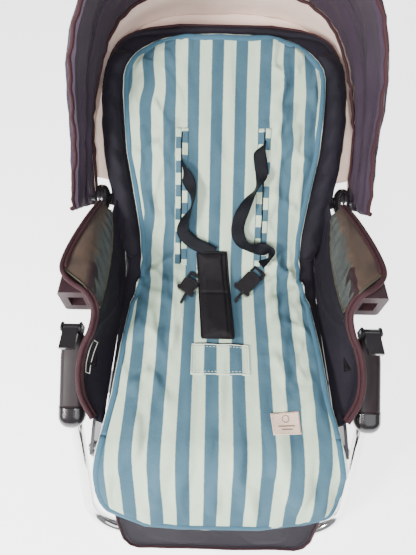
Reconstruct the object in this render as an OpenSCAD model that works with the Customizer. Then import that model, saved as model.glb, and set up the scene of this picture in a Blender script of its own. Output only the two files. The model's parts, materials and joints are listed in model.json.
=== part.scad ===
// Pushchair seat unit: reclining padded back, folding hood, level seat, hinged leg rest,
// bumper-bar sockets and a chrome front hoop, carried on one through axle.
// Millimetres. +Z up, the front of the seat faces -Y, +X is the viewer's right.
// The origin is on the axle's axis, midway between the two side plates.

/* [Seat] */
// Height of the seat surface above the axle
seat_h = 65; // [62:1:75]
// Distance from the axle back to the crease between seat and back
crease_y = 170; // [165:1:180]
// Length of the seat surface, crease to front edge
seat_l = 285; // [275:1:295]
// Half width of the seat pad
seat_hw = 170; // [160:1:170]
// Thickness of the seat pad
seat_t = 28; // [24:1:28]

/* [Back] */
// Lean of the back from vertical, in degrees
lean = 50; // [45:1:55]
// Height of the back along its slope
back_h = 430; // [420:1:440]
// Thickness of the back pad
back_t = 26; // [22:1:26]

/* [Leg rest] */
// Drop of the leg rest below horizontal, in degrees
leg_drop = 58; // [55:1:60]
// Length of the leg rest from its hinge
leg_l = 178; // [170:1:190]
// Half width of the leg rest pad
leg_hw = 152; // [140:1:156]

/* [Hood] */
// Half width of the front hood panel, which is the outermost one
hood_hw = 240; // [238:1:246]
// Distance from the hood pivot to the crown of the front panel
hood_r = 354; // [348:1:360]
// How square the arch is: 2 is an ellipse
hood_square = 3.2; // [3:0.1:3.4]
// Step between nested hood panels
hood_step = 7; // [7:0.5:8]

/* [Tubes] */
// Outer radius of the hinge tubes under the seat
hinge_r = 10; // [10:0.5:10.5]
// Outer radius of the back and seat tubes
tube_r = 8; // [7:0.5:8]
// Outer radius of the chrome hoop
hoop_r = 9.5; // [9:0.5:10]
// Radius of the bore for the chassis axle
axle_r = 6; // [5:0.5:6]

/* [Hidden] */

$fn = 48;
gap = 0.5;                 // gap between parts that lie against each other
board_t = 5;               // thickness of the seat, back and leg boards
clear = 0.05;              // radial running clearance of the hinges
wall = 1.5;                // wall of the straight tubes
cut = 1;                   // how far a cutting shape runs past the face it cuts

rail_z = seat_h - seat_t - board_t - tube_r - 1.7;      // height of the rails and hinge tubes
front_y = crease_y - seat_l + 3;                        // leg-rest hinge
axis_back = back_t + board_t + tube_r;                  // recline axis behind the back's surface
axis_drop = 20;                                         // and below the crease, along the back
recline_y = crease_y - axis_drop * sin(lean) + axis_back * cos(lean);
recline_z = seat_h - axis_drop * cos(lean) - axis_back * sin(lean);

crotch_slot_y = crease_y - 131;                         // slot that the crotch strap comes up through

rail_x = 158;              // seat rails
frame_x = 177;             // side tubes of the back frame
frame_low = 2;             // where those tubes start, above the hinge axis
plate_x = 187;             // inner face of the side plates
plate_t = 5;
lug_w = 16;                // width of a back hinge lug, and the length of its socket up the tube
lug_l = 38;
hub_in = 195;              // inner and outer faces of the hood hubs
hub_out = 218;
hub_r = 22;
hub_up = 137;              // hood pivot along the back, and in front of its surface
hub_front = 12;
bracket_end = 14;          // where the bracket stops, behind the pivot
bracket_w = 20;
pin_r = 4;
pin_out = hood_hw + 1;
pin_head_r = 9;            // also the eye of a bow
fabric = 2;                // hood fabric with its lining
hood_start = 34;           // where the fabric starts, from the pivot
bow_t = 2.5;
bow_w = 12;
bow_gap = 0.8;             // slack between a bow and the hood over it
rear_span = [-12, 22];     // degrees that each panel covers, forwards of the back's slope
mid_span = [-6, 28];
front_span = [0, 36];
mid_angle = 16;            // where the bows stand
front_angle = 32;

socket_y = 60;             // front face of the bumper-bar sockets, and their centre height
socket_z = 164;
socket_l = 52;
socket_x = 211;
socket_w = 46;
socket_h = 50;
socket_hole = 22;          // square hole, and its depth
socket_depth = 40;
button_y = 24;             // button behind the front face
button_r = 8;

cover_top = [28, 102];     // centres of the side cover's two ends, Y and Z
cover_end = [-72, 40];
cover_x = 225;
cover_w = 40;
cover_r = 17;
lever_pin_r = 2.5;         // hinge pin of the release lever on the cover

hoop_x = 220;              // half width of the chrome hoop at its centre line
hoop_down = 225;           // how far it reaches below the leg-rest hinge
hoop_bend = 70;
hoop_back = -24;           // its plane behind the leg-rest hinge

leg_tube = 6;
leg_tube_x = leg_hw - 22;  // side tubes of the leg rest's frame
leg_tube_low = leg_l - 8;  // its lower tube, from the hinge
leg_lug_r = hinge_r + 3.5;
leg_top = 40;              // leg pad surface above its hinge axis

// Half width of the back pad at points up its slope
back_edge = [[168, 35], [180, 80], [189, 125], [204, 200], [210, 262], [207, 320], [196, 365]];
back_top_hw = 196;         // half width of its square top, which starts at back_square
back_square = 300;
// Centre line of a bolster: X and distance up the slope
bolster_line = [[169, 44], [174, 140], [190, 230], [192, 300], [180.5, 366]];
bolster_r = 10;
// Half width of the liner up the back, along the seat and down the leg rest
liner_back_edge = [[141, 35], [147, 85], [158, 140], [165, 200], [167, 265], [165, 370]];
liner_seat_edge = [[141, -4], [153, -60], [160, -135], [163, -215], [168, -250], [170, -283]];
liner_leg_edge = [[180, -16], [180, -42], [176, -64], [166, -84], [148, -102], [120, -114], [60, -119]];

function mirrored(points) = concat(points, [for (i = [len(points) - 1:-1:0]) [-points[i][0], points[i][1]]]);
function arch_x(r, hw, top) = hw * pow(max(0, 1 - pow(r / top, hood_square)), 1 / hood_square);

// A half arch from the hub to the crown, as [distance from the pivot, x]; the steps close up
// towards the crown, where the arch turns fastest
function half_arch(hw, top, start) =
  [for (i = [0:14]) let (r = start + (top - start) * sin(i * 90 / 14)) [r, arch_x(r, hw, top)]];

module both_sides() { children(); mirror([1, 0, 0]) children(); }
module on_side(side) { if (side < 0) mirror([1, 0, 0]) children(); else children(); }
module tube_x(r, x0, x1) { translate([x0, 0, 0]) rotate([0, 90, 0]) cylinder(r = r, h = x1 - x0); }

liner_top_hw = 165;        // half width, top and corner of the liner's head end
liner_top = 408;
liner_corner = 38;
liner_t = 3;
// Side profiles, as Y and Z: the side plate's upper edge, the fabric wing, and the mesh window in it
plate_edge = [[118, 46], [98, 137], [60, 137], [40, 62], [-86, 44]];
wing_edge = [[-12, 118], [46, 146], [108, 156], [160, 157]];
window_edge = [[60, 136], [146, 148], [140, 94], [84, 96]];

// Frames: the back's own (+Z up its slope, -Y towards the sitter, origin at the crease), the
// hood pivot's (same directions) and the leg rest's (-Y down the leg, +Z out of its surface)
module in_back() { translate([0, crease_y, seat_h]) rotate([-lean, 0, 0]) children(); }
module at_pivot() { in_back() translate([0, -hub_front, hub_up]) children(); }
module at_recline() { in_back() translate([0, axis_back, -axis_drop]) children(); }
module in_leg() { translate([0, front_y, rail_z]) rotate([leg_drop, 0, 0]) children(); }

// A flat shape drawn as [x, up the slope], as a slab between two depths of the back
module back_slab(front, rear) {
  in_back() translate([0, rear, 0]) rotate([90, 0, 0]) linear_extrude(rear - front) children();
}
// A side profile drawn as [y, z], as a plate between two X
module side_slab(x0, x1) { translate([x0, 0, 0]) rotate([90, 0, 90]) linear_extrude(x1 - x0) children(); }

// ---- seat frame ----

module cross_tube() {
  color("silver") translate([0, recline_y, recline_z]) difference() {
    tube_x(hinge_r, -plate_x, plate_x);
    tube_x(hinge_r - wall, -plate_x - cut, plate_x + cut);
  }
}

module front_tube() {
  color("silver") translate([0, front_y, rail_z]) difference() {
    tube_x(hinge_r, -plate_x, plate_x);
    tube_x(hinge_r - wall, -plate_x - cut, plate_x + cut);
  }
}

module seat_rail(side) {
  length = recline_y - front_y - 2 * hinge_r + 1;
  color("dimgray") translate([side * rail_x, front_y + hinge_r - 0.5, rail_z]) rotate([-90, 0, 0])
    difference() {
      cylinder(r = tube_r, h = length);
      translate([0, 0, -cut]) cylinder(r = tube_r - wall, h = length + 2 * cut);
    }
}

module seat_board() {
  color("burlywood") translate([0, 0, seat_h - seat_t - board_t]) linear_extrude(board_t - gap)
    difference() {
      translate([-seat_hw + 6, front_y + 14]) square([2 * seat_hw - 12, seat_l - 40]);
      translate([-30, crotch_slot_y]) square([60, 8]);
    }
}

module seat_cushion() {
  color("midnightblue") translate([0, 0, seat_h - seat_t]) linear_extrude(seat_t)
    difference() {
      translate([-seat_hw, front_y + 1]) square([2 * seat_hw, seat_l - 6]);
      translate([-30, crotch_slot_y]) square([60, 8]);
    }
}

// ---- side structure ----

module plate_outline() {
  difference() {
    union() {
      polygon(concat([[-24, -2], [24, -2], [recline_y + 16, recline_z - 14], [recline_y + 16, recline_z + 14]],
                     plate_edge, [[front_y - 12, rail_z + 10], [front_y - 12, rail_z - 12]]));
      circle(r = axle_r + 16);
    }
    circle(r = axle_r);
  }
}

module side_plate(side) {
  color("dimgray") on_side(side) side_slab(plate_x, plate_x + plate_t) plate_outline();
}

// Long rounded cover outside the plate; the hoop plugs into its lower end
module side_cover(side) {
  color("black") on_side(side) difference() {
    union() {
      hull() for (p = [cover_top, cover_end])
        translate([cover_x - cover_w / 2, p[0], p[1]]) tube_x(cover_r, 0, cover_w);
      translate([plate_x + plate_t, -6, 58]) cube([cover_x - plate_x - plate_t - 8, 26, 26]);
      lever_place() for (x = [-15.5, 12]) translate([x, -7, -20]) cube([3.5, 14, 26]);
      lever_place() tube_x(lever_pin_r, -14, 14);
    }
    hoop_leg(hoop_r);
  }
}

module lever_place() { translate([cover_x, cover_top[0] + 10, cover_top[1] + cover_r + 6.5]) children(); }

module hoop_leg(r) {
  in_leg() translate([hoop_x, -hoop_down + hoop_bend, hoop_back]) rotate([-90, 0, 0])
    cylinder(r = r, h = hoop_down - hoop_bend + 52);
}

module chrome_hoop() {
  color("gainsboro") {
    both_sides() hoop_leg(hoop_r);
    in_leg() translate([0, -hoop_down, hoop_back]) {
      tube_x(hoop_r, -hoop_x + hoop_bend, hoop_x - hoop_bend);
      both_sides() translate([hoop_x - hoop_bend, hoop_bend, 0]) rotate([0, 0, -90])
        rotate_extrude(angle = 90) translate([hoop_bend, 0]) circle(r = hoop_r);
    }
  }
}

// Snap-on catch that hangs below the hoop on the right
module hoop_catch() {
  color("black") in_leg() translate([100, -hoop_down, hoop_back]) difference() {
    union() {
      tube_x(hoop_r + 5, -20, 20);
      translate([-17, -34, -12]) cube([34, 30, 20]);
    }
    tube_x(hoop_r, -20 - cut, 20 + cut);
  }
}

// ---- armrests and bumper-bar sockets ----

module rounded_box(size, r) {
  hull() for (x = [r, size[0] - r]) for (z = [r, size[2] - r])
    translate([x, 0, z]) rotate([-90, 0, 0]) cylinder(r = r, h = size[1], $fn = 32);
}

module socket_housing(side) {
  color("black") on_side(side) translate([socket_x, socket_y, socket_z]) difference() {
    union() {
      translate([-socket_w / 2, 0, -socket_h / 2]) rounded_box([socket_w, socket_l, socket_h], 5);
      translate([plate_x + plate_t - socket_x, 8, -socket_h / 2 - 26]) cube([10, 30, 28]);
    }
    translate([-socket_hole / 2, -cut, -socket_hole / 2]) cube([socket_hole, socket_depth + cut, socket_hole]);
    translate([0, button_y, 0]) tube_x(button_r + 0.3, socket_w / 2 - 9, socket_w / 2 + cut);
  }
}

module socket_button(side) {
  color("dimgray") on_side(side) translate([socket_x + socket_w / 2 - 5, socket_y + button_y, socket_z])
    tube_x(button_r, 0, 8.5);
}

module armrest(side) {
  length = 50;
  color("midnightblue") on_side(side)
    translate([socket_x - 17, socket_y + socket_l + gap, socket_z - 15])
      rounded_box([34, length, 30], 13);
}

module release_lever(side) {
  color("black") on_side(side) lever_place() difference() {
    union() {
      tube_x(5, -11.5, 11.5);
      translate([-11.5, -36, -2]) cube([23, 34, 6]);
    }
    tube_x(lever_pin_r + clear, -12, 12);
  }
}

// Padded fabric side of the seat, and the mesh window behind its upper edge
module side_wing(side) {
  color("midnightblue") on_side(side) side_slab(176, 183) difference() {
    polygon(concat([[crease_y - 20, seat_h - 26], [front_y + 30, seat_h - 26], [front_y + 26, seat_h + 4]],
                   wing_edge));
    wing_window(0);
  }
}

module wing_window(inset) { offset(delta = -inset) polygon(window_edge); }

module side_mesh(side) {
  color("saddlebrown") on_side(side) side_slab(178, 181) wing_window(gap);
}

// ---- harness ----

module crotch_pad() {
  color("dimgray") translate([0, crease_y - 10, seat_h + 13]) rotate([3, 0, 0])
    translate([-26, -118, -2.5]) cube([52, 116, 6]);
}

module buckle(x, y, angle) {
  color("black") translate([x, y, seat_h + 8.5]) rotate([0, 0, angle]) difference() {
    translate([-14, -15, -3.5]) cube([28, 30, 8]);
    for (slot = [-9, 6]) translate([-11, slot, -4.5]) cube([22, 3, 10]);
  }
}

module buckle_left() { buckle(-60, 150, 25); }
module buckle_right() { buckle(46, 148, -20); }

module shoulder_strap(side) {
  lean_in = 16;
  corners = [[-12, 0], [12, 0], [12 + lean_in, 190], [-12 + lean_in, 190]];
  color("navy") back_slab(-9, -7) polygon([for (p = corners) [side * (p[0] + 50), p[1] + 62]]);
}

// ---- liner ----

module liner_seat() {
  color("lightblue") translate([0, crease_y, seat_h + gap]) linear_extrude(liner_t)
    difference() {
      polygon(mirrored(liner_seat_edge));
      translate([-28, -130]) square([56, 6]);
    }
}

module liner_back() {
  flat = liner_top_hw - liner_corner;
  color("lightblue") back_slab(-4.5, -gap) difference() {
    union() {
      polygon(mirrored(liner_back_edge));
      translate([-flat, back_square]) square([2 * flat, liner_top - back_square]);
      both_sides() translate([flat, liner_top - liner_corner]) circle(r = liner_corner);
    }
    both_sides() translate([68, 24]) square([6, 232]);
  }
}

module liner_leg() {
  color("lightblue") in_leg() translate([0, 0, leg_top + gap]) linear_extrude(liner_t)
    polygon(mirrored(liner_leg_edge));
}

// ---- fasteners ----

module plate_screws() {
  color("silver") both_sides() {
    for (p = [[recline_y, recline_z], [front_y, rail_z]])
      translate([plate_x + plate_t, p[0], p[1]]) { tube_x(9, 0, 2); tube_x(5, 0, 4.5); }
    for (p = [[52, 68], [70, 100]])
      translate([plate_x + plate_t, p[0], p[1]]) tube_x(5, 0, 3);
  }
}

// ---- back ----

module back_frame() {
  bend = 60;
  top = back_h - 22;
  color("dimgray") in_back() translate([0, axis_back, 0]) {
    both_sides() {
      translate([frame_x, 0, frame_low]) cylinder(r = tube_r, h = top - bend - frame_low);
      translate([frame_x - bend, 0, top - bend]) rotate([90, 0, 0])
        rotate_extrude(angle = 90) translate([bend, 0]) circle(r = tube_r);
    }
    translate([0, 0, top]) tube_x(tube_r, -frame_x + bend, frame_x - bend);
  }
}

module back_outline(inset) {
  corner = 72;
  flat = back_top_hw - corner;
  offset(delta = -inset) union() {
    polygon(mirrored(back_edge));
    translate([-flat, back_square]) square([2 * flat, back_h - back_square]);
    both_sides() translate([flat, back_h - corner]) circle(r = corner);
  }
}

module back_board() {
  color("burlywood") back_slab(back_t + gap, back_t + board_t) back_outline(14);
}

module back_cushion() {
  color("midnightblue") back_slab(0, back_t) back_outline(0);
}

module bolster(side) {
  color("midnightblue") on_side(side) in_back() hull() {
    for (p = bolster_line)
      translate([p[0], -bolster_r - 1, p[1]]) scale([0.9, 1, 1]) sphere(r = bolster_r, $fn = 24);
  }
}

module hinge_lugs() {
  color("black") both_sides() difference() {
    union() {
      at_recline() tube_x(hinge_r + 4, frame_x - lug_w / 2, frame_x + lug_w / 2);
      at_recline() translate([frame_x, 0, 9]) cylinder(r = tube_r + 1.5, h = lug_l);
    }
    at_recline() tube_x(hinge_r + clear, frame_x - lug_w, frame_x + lug_w);
    at_recline() translate([frame_x, 0, axis_drop + frame_low]) cylinder(r = tube_r, h = 2 * lug_l);
  }
}

// L-shaped strap from the back frame round the pad's edge to the hood hub
module hood_bracket(side) {
  color("black") on_side(side) in_back() translate([0, 0, hub_up - bracket_w / 2]) linear_extrude(bracket_w)
    polygon([[frame_x + tube_r, axis_back - 5], [frame_x + tube_r, axis_back + 5], [hub_in + 4, axis_back + 5],
             [hub_in + 6, axis_back + 2], [hub_in + 6, bracket_end - hub_front], [hub_in, bracket_end - hub_front],
             [hub_in, axis_back - 5]]);
}

module hood_hub(side) {
  ridges = 28;
  color("black") on_side(side) at_pivot() difference() {
    union() {
      tube_x(hub_r, hub_in, hub_out);
      for (i = [0:ridges - 1]) rotate([i * 360 / ridges, 0, 0])
        translate([hub_in + 4, -1.2, hub_r - 1]) cube([hub_out - hub_in - 8, 2.4, 2.6]);
    }
    tube_x(pin_r, hub_in - cut, hub_out + cut);
    translate([hub_in - cut, bracket_end, -bracket_w / 2 - 0.2]) cube([6.2 + cut, hub_r, bracket_w + 0.4]);
  }
}

module hood_pins() {
  color("silver") both_sides() at_pivot() {
    tube_x(pin_r, hub_in, pin_out);
    tube_x(pin_head_r, pin_out, pin_out + 3);
  }
}

module recline_housing() {
  color("black") in_back() translate([-55, axis_back + tube_r, back_h - 70]) difference() {
    cube([110, 20, 56]);
    translate([8, 4, 14]) cube([94, 12, 43]);
    translate([14, 4, 36]) cube([82, 20, 21]);
  }
}

// Squeeze bar inside the housing, pulled up towards the top tube
module recline_trigger() {
  color("dimgray") in_back() translate([-46, axis_back + tube_r + 5, back_h - 50])
    cube([92, 10, 14]);
}

// ---- hood ----

// One panel of the hood: an arch turned about the pivot axis from one angle to another,
// counted forwards from the back's slope
module hood_panel(hw, top, span) {
  outer = half_arch(hw, top, hood_start);
  inner = half_arch(hw - fabric, top - fabric, hood_start);
  at_pivot() rotate([0, 90, 0]) rotate([0, 0, 180 + span[0]])
    rotate_extrude(angle = span[1] - span[0], $fn = 180)
      polygon(concat(outer, [for (i = [13:-1:0]) [outer[i][0], -outer[i][1]]],
                     [for (i = [0:14]) [inner[i][0], -inner[i][1]]],
                     [for (i = [13:-1:0]) inner[i]]));
}

module hood_bow(hw, top, angle) {
  outer = half_arch(hw, top, 0);
  inner = half_arch(hw - bow_t, top - bow_t, 0);
  at_pivot() rotate([angle, 0, 0]) difference() {
    union() {
      translate([0, bow_w / 2, 0]) rotate([90, 0, 0]) linear_extrude(bow_w)
        polygon(concat([for (p = outer) [p[1], p[0]]], [for (i = [13:-1:0]) [-outer[i][1], outer[i][0]]],
                       [for (i = [0:14]) [-inner[i][1], inner[i][0]]],
                       [for (i = [13:-1:0]) [inner[i][1], inner[i][0]]]));
      both_sides() tube_x(pin_head_r, hw - bow_t, hw);
    }
    tube_x(pin_r + clear, -hw - 1, hw + 1);
  }
}

// The panel and the bow that are this many steps inside the front ones
module panel(steps, span) {
  color("#463a42") hood_panel(hood_hw - steps * hood_step, hood_r - steps * hood_step, span);
}
module bow(steps, angle) {
  inside = steps * hood_step + fabric + bow_gap;
  color("gray") hood_bow(hood_hw - inside, hood_r - inside, angle);
}

// ---- leg rest ----

module leg_frame() {
  bend = 30;
  color("dimgray") in_leg() {
    both_sides() {
      translate([leg_tube_x, -leg_lug_r, 0]) rotate([90, 0, 0])
        cylinder(r = leg_tube, h = leg_tube_low - leg_lug_r - bend);
      translate([leg_tube_x - bend, -leg_tube_low + bend, 0]) rotate([0, 0, -90])
        rotate_extrude(angle = 90) translate([bend, 0]) circle(r = leg_tube);
    }
    translate([0, -leg_tube_low, 0]) tube_x(leg_tube, -leg_tube_x + bend, leg_tube_x - bend);
  }
}

module leg_outline(inset) {
  corner = 36;
  offset(delta = -inset) union() {
    translate([-leg_hw, -leg_l + corner]) square([2 * leg_hw, leg_l - corner - 18]);
    translate([-leg_hw + corner, -leg_l]) square([2 * (leg_hw - corner), leg_l - 20]);
    both_sides() translate([leg_hw - corner, -leg_l + corner]) circle(r = corner);
  }
}

module leg_board() {
  color("burlywood") in_leg() translate([0, 0, leg_tube + gap]) linear_extrude(board_t) leg_outline(8);
}

module leg_pad() {
  low = leg_tube + board_t + 2 * gap;
  color("midnightblue") in_leg() translate([0, 0, low]) linear_extrude(leg_top - low) leg_outline(0);
}

module leg_lugs() {
  half_w = 9;
  color("black") both_sides() difference() {
    in_leg() union() {
      tube_x(leg_lug_r, leg_tube_x - half_w, leg_tube_x + half_w);
      translate([leg_tube_x, -hinge_r, 0]) rotate([90, 0, 0]) cylinder(r = leg_tube + 2.5, h = 15);
    }
    in_leg() tube_x(hinge_r + clear, leg_tube_x - 2 * half_w, leg_tube_x + 2 * half_w);
    in_leg() translate([leg_tube_x, -leg_lug_r, 0]) rotate([90, 0, 0]) cylinder(r = leg_tube, h = 60);
  }
}

cross_tube();
front_tube();
seat_rail(-1);  // seat_rail_left
seat_rail(1);  // seat_rail_right
seat_board();
seat_cushion();
side_plate(-1);  // side_plate_left
side_plate(1);  // side_plate_right
side_cover(-1);  // side_cover_left
side_cover(1);  // side_cover_right
armrest(-1);  // armrest_left
armrest(1);  // armrest_right
socket_housing(-1);  // socket_housing_left
socket_housing(1);  // socket_housing_right
chrome_hoop();
hoop_catch();
side_wing(-1);  // side_wing_left
side_wing(1);  // side_wing_right
side_mesh(-1);  // side_mesh_left
side_mesh(1);  // side_mesh_right
crotch_pad();
buckle_left();
buckle_right();
liner_seat();
plate_screws();
socket_button(-1);  // socket_button_left
socket_button(1);  // socket_button_right
release_lever(-1);  // release_lever_left
release_lever(1);  // release_lever_right
back_frame();
back_board();
back_cushion();
bolster(-1);  // bolster_left
bolster(1);  // bolster_right
hinge_lugs();
liner_back();
shoulder_strap(-1);  // shoulder_strap_left
shoulder_strap(1);  // shoulder_strap_right
hood_bracket(-1);  // hood_bracket_left
hood_bracket(1);  // hood_bracket_right
hood_hub(-1);  // hood_hub_left
hood_hub(1);  // hood_hub_right
hood_pins();
panel(2, rear_span);  // canopy_rear
recline_housing();
recline_trigger();
bow(1, mid_angle);  // bow_mid
panel(1, mid_span);  // canopy_mid
bow(0, front_angle);  // bow_front
panel(0, front_span);  // canopy_front
leg_frame();
leg_board();
leg_pad();
leg_lugs();
liner_leg();
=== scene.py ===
"""Looks of the pushchair seat unit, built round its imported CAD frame. Metres, +Z up, front towards -Y."""

import json
import math

import bmesh
import bpy
import numpy as np
from mathutils import Matrix, Vector, geometry, noise


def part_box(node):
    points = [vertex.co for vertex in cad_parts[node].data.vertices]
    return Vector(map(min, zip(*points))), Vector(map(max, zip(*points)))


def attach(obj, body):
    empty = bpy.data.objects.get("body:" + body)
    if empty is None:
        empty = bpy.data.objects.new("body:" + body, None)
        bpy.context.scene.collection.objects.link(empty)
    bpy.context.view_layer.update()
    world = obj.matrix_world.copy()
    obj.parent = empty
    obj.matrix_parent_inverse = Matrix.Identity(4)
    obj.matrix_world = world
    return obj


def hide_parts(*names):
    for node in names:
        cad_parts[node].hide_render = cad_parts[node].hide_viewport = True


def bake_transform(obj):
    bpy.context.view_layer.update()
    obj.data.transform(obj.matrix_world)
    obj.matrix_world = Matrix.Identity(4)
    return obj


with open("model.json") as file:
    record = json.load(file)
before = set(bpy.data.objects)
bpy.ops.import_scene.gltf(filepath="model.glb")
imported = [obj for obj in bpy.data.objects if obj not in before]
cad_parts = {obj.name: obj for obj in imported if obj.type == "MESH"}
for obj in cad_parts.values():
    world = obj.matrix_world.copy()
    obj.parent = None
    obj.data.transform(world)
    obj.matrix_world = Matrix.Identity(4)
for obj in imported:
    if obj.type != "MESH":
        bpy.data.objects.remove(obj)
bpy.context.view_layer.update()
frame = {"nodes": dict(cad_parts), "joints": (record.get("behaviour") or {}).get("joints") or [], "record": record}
NODES = frame["nodes"]
JOINTS = {joint["name"]: joint for joint in frame["joints"]}

# ---------------------------------------------------------------- places, from the frame where it has them

BAR_AXIS = JOINTS["recline_squeeze"]["axis"]
LEAN = math.atan2(BAR_AXIS[1], BAR_AXIS[2])
SEAT_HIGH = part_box("seat_cushion")[1]
SEAT_Z = SEAT_HIGH[2]
CREASE_Y = SEAT_HIGH[1] + 0.002
PIVOT = Vector(JOINTS["hood_mid_fold"]["pos_m"])
KNEE = Vector(JOINTS["leg_rest_fold"]["pos_m"])
DROP = math.radians(58)
HOOD_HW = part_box("canopy_front")[1][0]
HOOD_TOP = 0.354
HOOD_SQUARE = 3.2
BACK_TOP = 0.430
LEG_SURFACE = 0.040


def back(x, up, out):
    """A point by its height up the back's slope and its distance out towards the sitter."""
    return Vector((x, CREASE_Y + up * math.sin(LEAN) - out * math.cos(LEAN),
                   SEAT_Z + up * math.cos(LEAN) + out * math.sin(LEAN)))


def leg(x, down, out):
    """A point by its distance down the leg rest from the knee hinge and out of its surface."""
    return Vector((x, KNEE.y - down * math.cos(DROP) - out * math.sin(DROP),
                   KNEE.z - down * math.sin(DROP) + out * math.cos(DROP)))


def hood(x, r, turn):
    """A point of the hood by its distance from the pivot and its angle forward of the back's slope."""
    angle = math.pi / 2 - LEAN + turn
    return Vector((x, PIVOT.y + r * math.cos(angle), PIVOT.z + r * math.sin(angle)))


SIDES = ((-1, "left"), (1, "right"))


def smooth(t):
    t = min(1.0, max(0.0, t))
    return t * t * (3 - 2 * t)


def round_end(t):
    """Rises from 0 to 1 as a quarter circle does, while t goes from 0 to 1."""
    return math.sqrt(max(0.0, 1 - (1 - min(1.0, t)) ** 2))


def power(value, exponent):
    """A power that keeps the value's sign, for circles squared off."""
    return math.copysign(abs(value) ** exponent, value)


def along(table, s):
    """The value at s in a table of (place, value) pairs, eased between them."""
    if s <= table[0][0]:
        return table[0][1]
    for (s0, v0), (s1, v1) in zip(table, table[1:]):
        if s <= s1:
            t = (s - s0) / (s1 - s0)
            return v0 + (v1 - v0) * t
    return table[-1][1]


def catmull(points, steps):
    """A smooth curve through the points, with so many steps between each two."""
    pts = [Vector(p) for p in points]
    ends = [pts[0] * 2 - pts[1]] + pts + [pts[-1] * 2 - pts[-2]]
    out = []
    for a, b, c, d in zip(ends, ends[1:], ends[2:], ends[3:]):
        for i in range(steps):
            t = i / steps
            out.append(0.5 * ((2 * b) + (c - a) * t + (2 * a - 5 * b + 4 * c - d) * t * t
                              + (3 * b - a - 3 * c + d) * t ** 3))
    return out + [pts[-1]]


def ripple(*where, scale=1.0, seed=0.0):
    """Smooth noise from -1 to 1 at a place."""
    place = Vector(where).to_3d() if len(where) < 3 else Vector(where)
    return noise.noise(place * scale + Vector((seed, seed * 0.7, seed * 1.3)))


def ridge(*where):
    """Narrow ridges from 0 to 1 that run and fork like creases in cloth."""
    return max(0.0, 1.0 - 4.5 * abs(ripple(*where))) ** 1.5


# ---------------------------------------------------------------- materials

class Nodes:
    """A material's node tree, with short ways to add and join nodes."""

    def __init__(self, name):
        self.material = bpy.data.materials.new(name)
        self.material.use_nodes = True
        self.tree = self.material.node_tree
        self.shader = self.tree.nodes["Principled BSDF"]

    def add(self, kind, **values):
        node = self.tree.nodes.new(kind)
        for key, value in values.items():
            if key in node.inputs.keys():
                node.inputs[key].default_value = value
            else:
                setattr(node, key, value)
        return node

    def math(self, operation, a, b=None):
        node = self.add("ShaderNodeMath", operation=operation)
        for i, value in enumerate((a, b)):
            if isinstance(value, (int, float)):
                node.inputs[i].default_value = value
            elif value is not None:
                self.tree.links.new(value, node.inputs[i])
        return node.outputs[0]

    def wave(self, value, pitch):
        return self.math("SINE", self.math("MULTIPLY", value, 2 * math.pi / pitch))

    def scaled(self, value, factor, more):
        return self.math("ADD", self.math("MULTIPLY", value, factor), more)

    def mix(self, factor, a, b):
        node = self.add("ShaderNodeMix", data_type="RGBA")
        self.tree.links.new(factor, node.inputs[0])
        for socket, value in ((node.inputs[6], a), (node.inputs[7], b)):
            if isinstance(value, tuple):
                socket.default_value = (*value, 1.0)
            else:
                self.tree.links.new(value, socket)
        return node.outputs[2]

    def noise(self, vector, scale, detail=3.0, rough=0.6):
        node = self.add("ShaderNodeTexNoise", Scale=scale, Detail=detail, Roughness=rough)
        self.tree.links.new(vector, node.inputs["Vector"])
        return node.outputs["Fac"]

    def ramp(self, value, low, high):
        node = self.add("ShaderNodeMapRange")
        node.inputs["From Min"].default_value = low
        node.inputs["From Max"].default_value = high
        self.tree.links.new(value, node.inputs["Value"])
        return node.outputs[0]

    def place(self):
        return self.add("ShaderNodeTexCoord").outputs["Object"]

    def uv(self):
        return self.add("ShaderNodeUVMap", uv_map="flat").outputs["UV"]

    def bump(self, height, strength, distance, before=None):
        node = self.add("ShaderNodeBump", Strength=strength, Distance=distance)
        self.tree.links.new(height, node.inputs["Height"])
        if before is not None:
            self.tree.links.new(before, node.inputs["Normal"])
        self.tree.links.new(node.outputs[0], self.shader.inputs["Normal"])
        return node.outputs[0]

    def split(self, vector):
        node = self.add("ShaderNodeSeparateXYZ")
        self.tree.links.new(vector, node.inputs[0])
        return node.outputs

    def set(self, name, value):
        if isinstance(value, (int, float, tuple)):
            self.shader.inputs[name].default_value = (*value, 1.0) if isinstance(value, tuple) else value
        else:
            self.tree.links.new(value, self.shader.inputs[name])


def weave(n, vector, pitch, strength=0.35):
    """Over-and-under threads as bump, from two crossed waves; the pitch is in metres."""
    x, y, z = n.split(vector)[:3]
    across = n.wave(n.math("ADD", x, z), pitch)
    down = n.wave(n.math("ADD", y, n.math("MULTIPLY", z, 0.6)), pitch)
    cloth = n.math("MULTIPLY", across, down)
    crease = n.noise(vector, 38.0, 4.0, 0.65)
    return n.bump(cloth, strength, 0.0004, n.bump(crease, 0.28, 0.004))


def fabric(name, colour, pitch=0.0011, rough=0.8, sheen=0.08, vary=0.35, light=None, strength=0.35):
    """Woven cloth whose colour wanders between two tones, worn paler in patches."""
    n = Nodes(name)
    vector = n.place()
    light = light or tuple(min(1.0, c * 1.55 + 0.004) for c in colour)
    patches = n.ramp(n.noise(vector, 9.0, 5.0), 0.35, 0.72)
    fine = n.ramp(n.noise(vector, 420.0, 2.0), 0.2, 0.8)
    mixed = n.math("ADD", n.math("MULTIPLY", patches, vary), n.math("MULTIPLY", fine, 0.3))
    n.set("Base Color", n.mix(mixed, colour, light))
    n.set("Roughness", n.scaled(fine, 0.12, rough - 0.06))
    n.set("Specular IOR Level", 0.16)
    n.set("Sheen Weight", sheen * 0.5)
    n.set("Sheen Roughness", 0.45)
    weave(n, vector, pitch, strength)
    return n.material


STRIPE = 0.020
BLUE = (0.036, 0.082, 0.115)
CREAM = (0.40, 0.52, 0.385)


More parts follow.
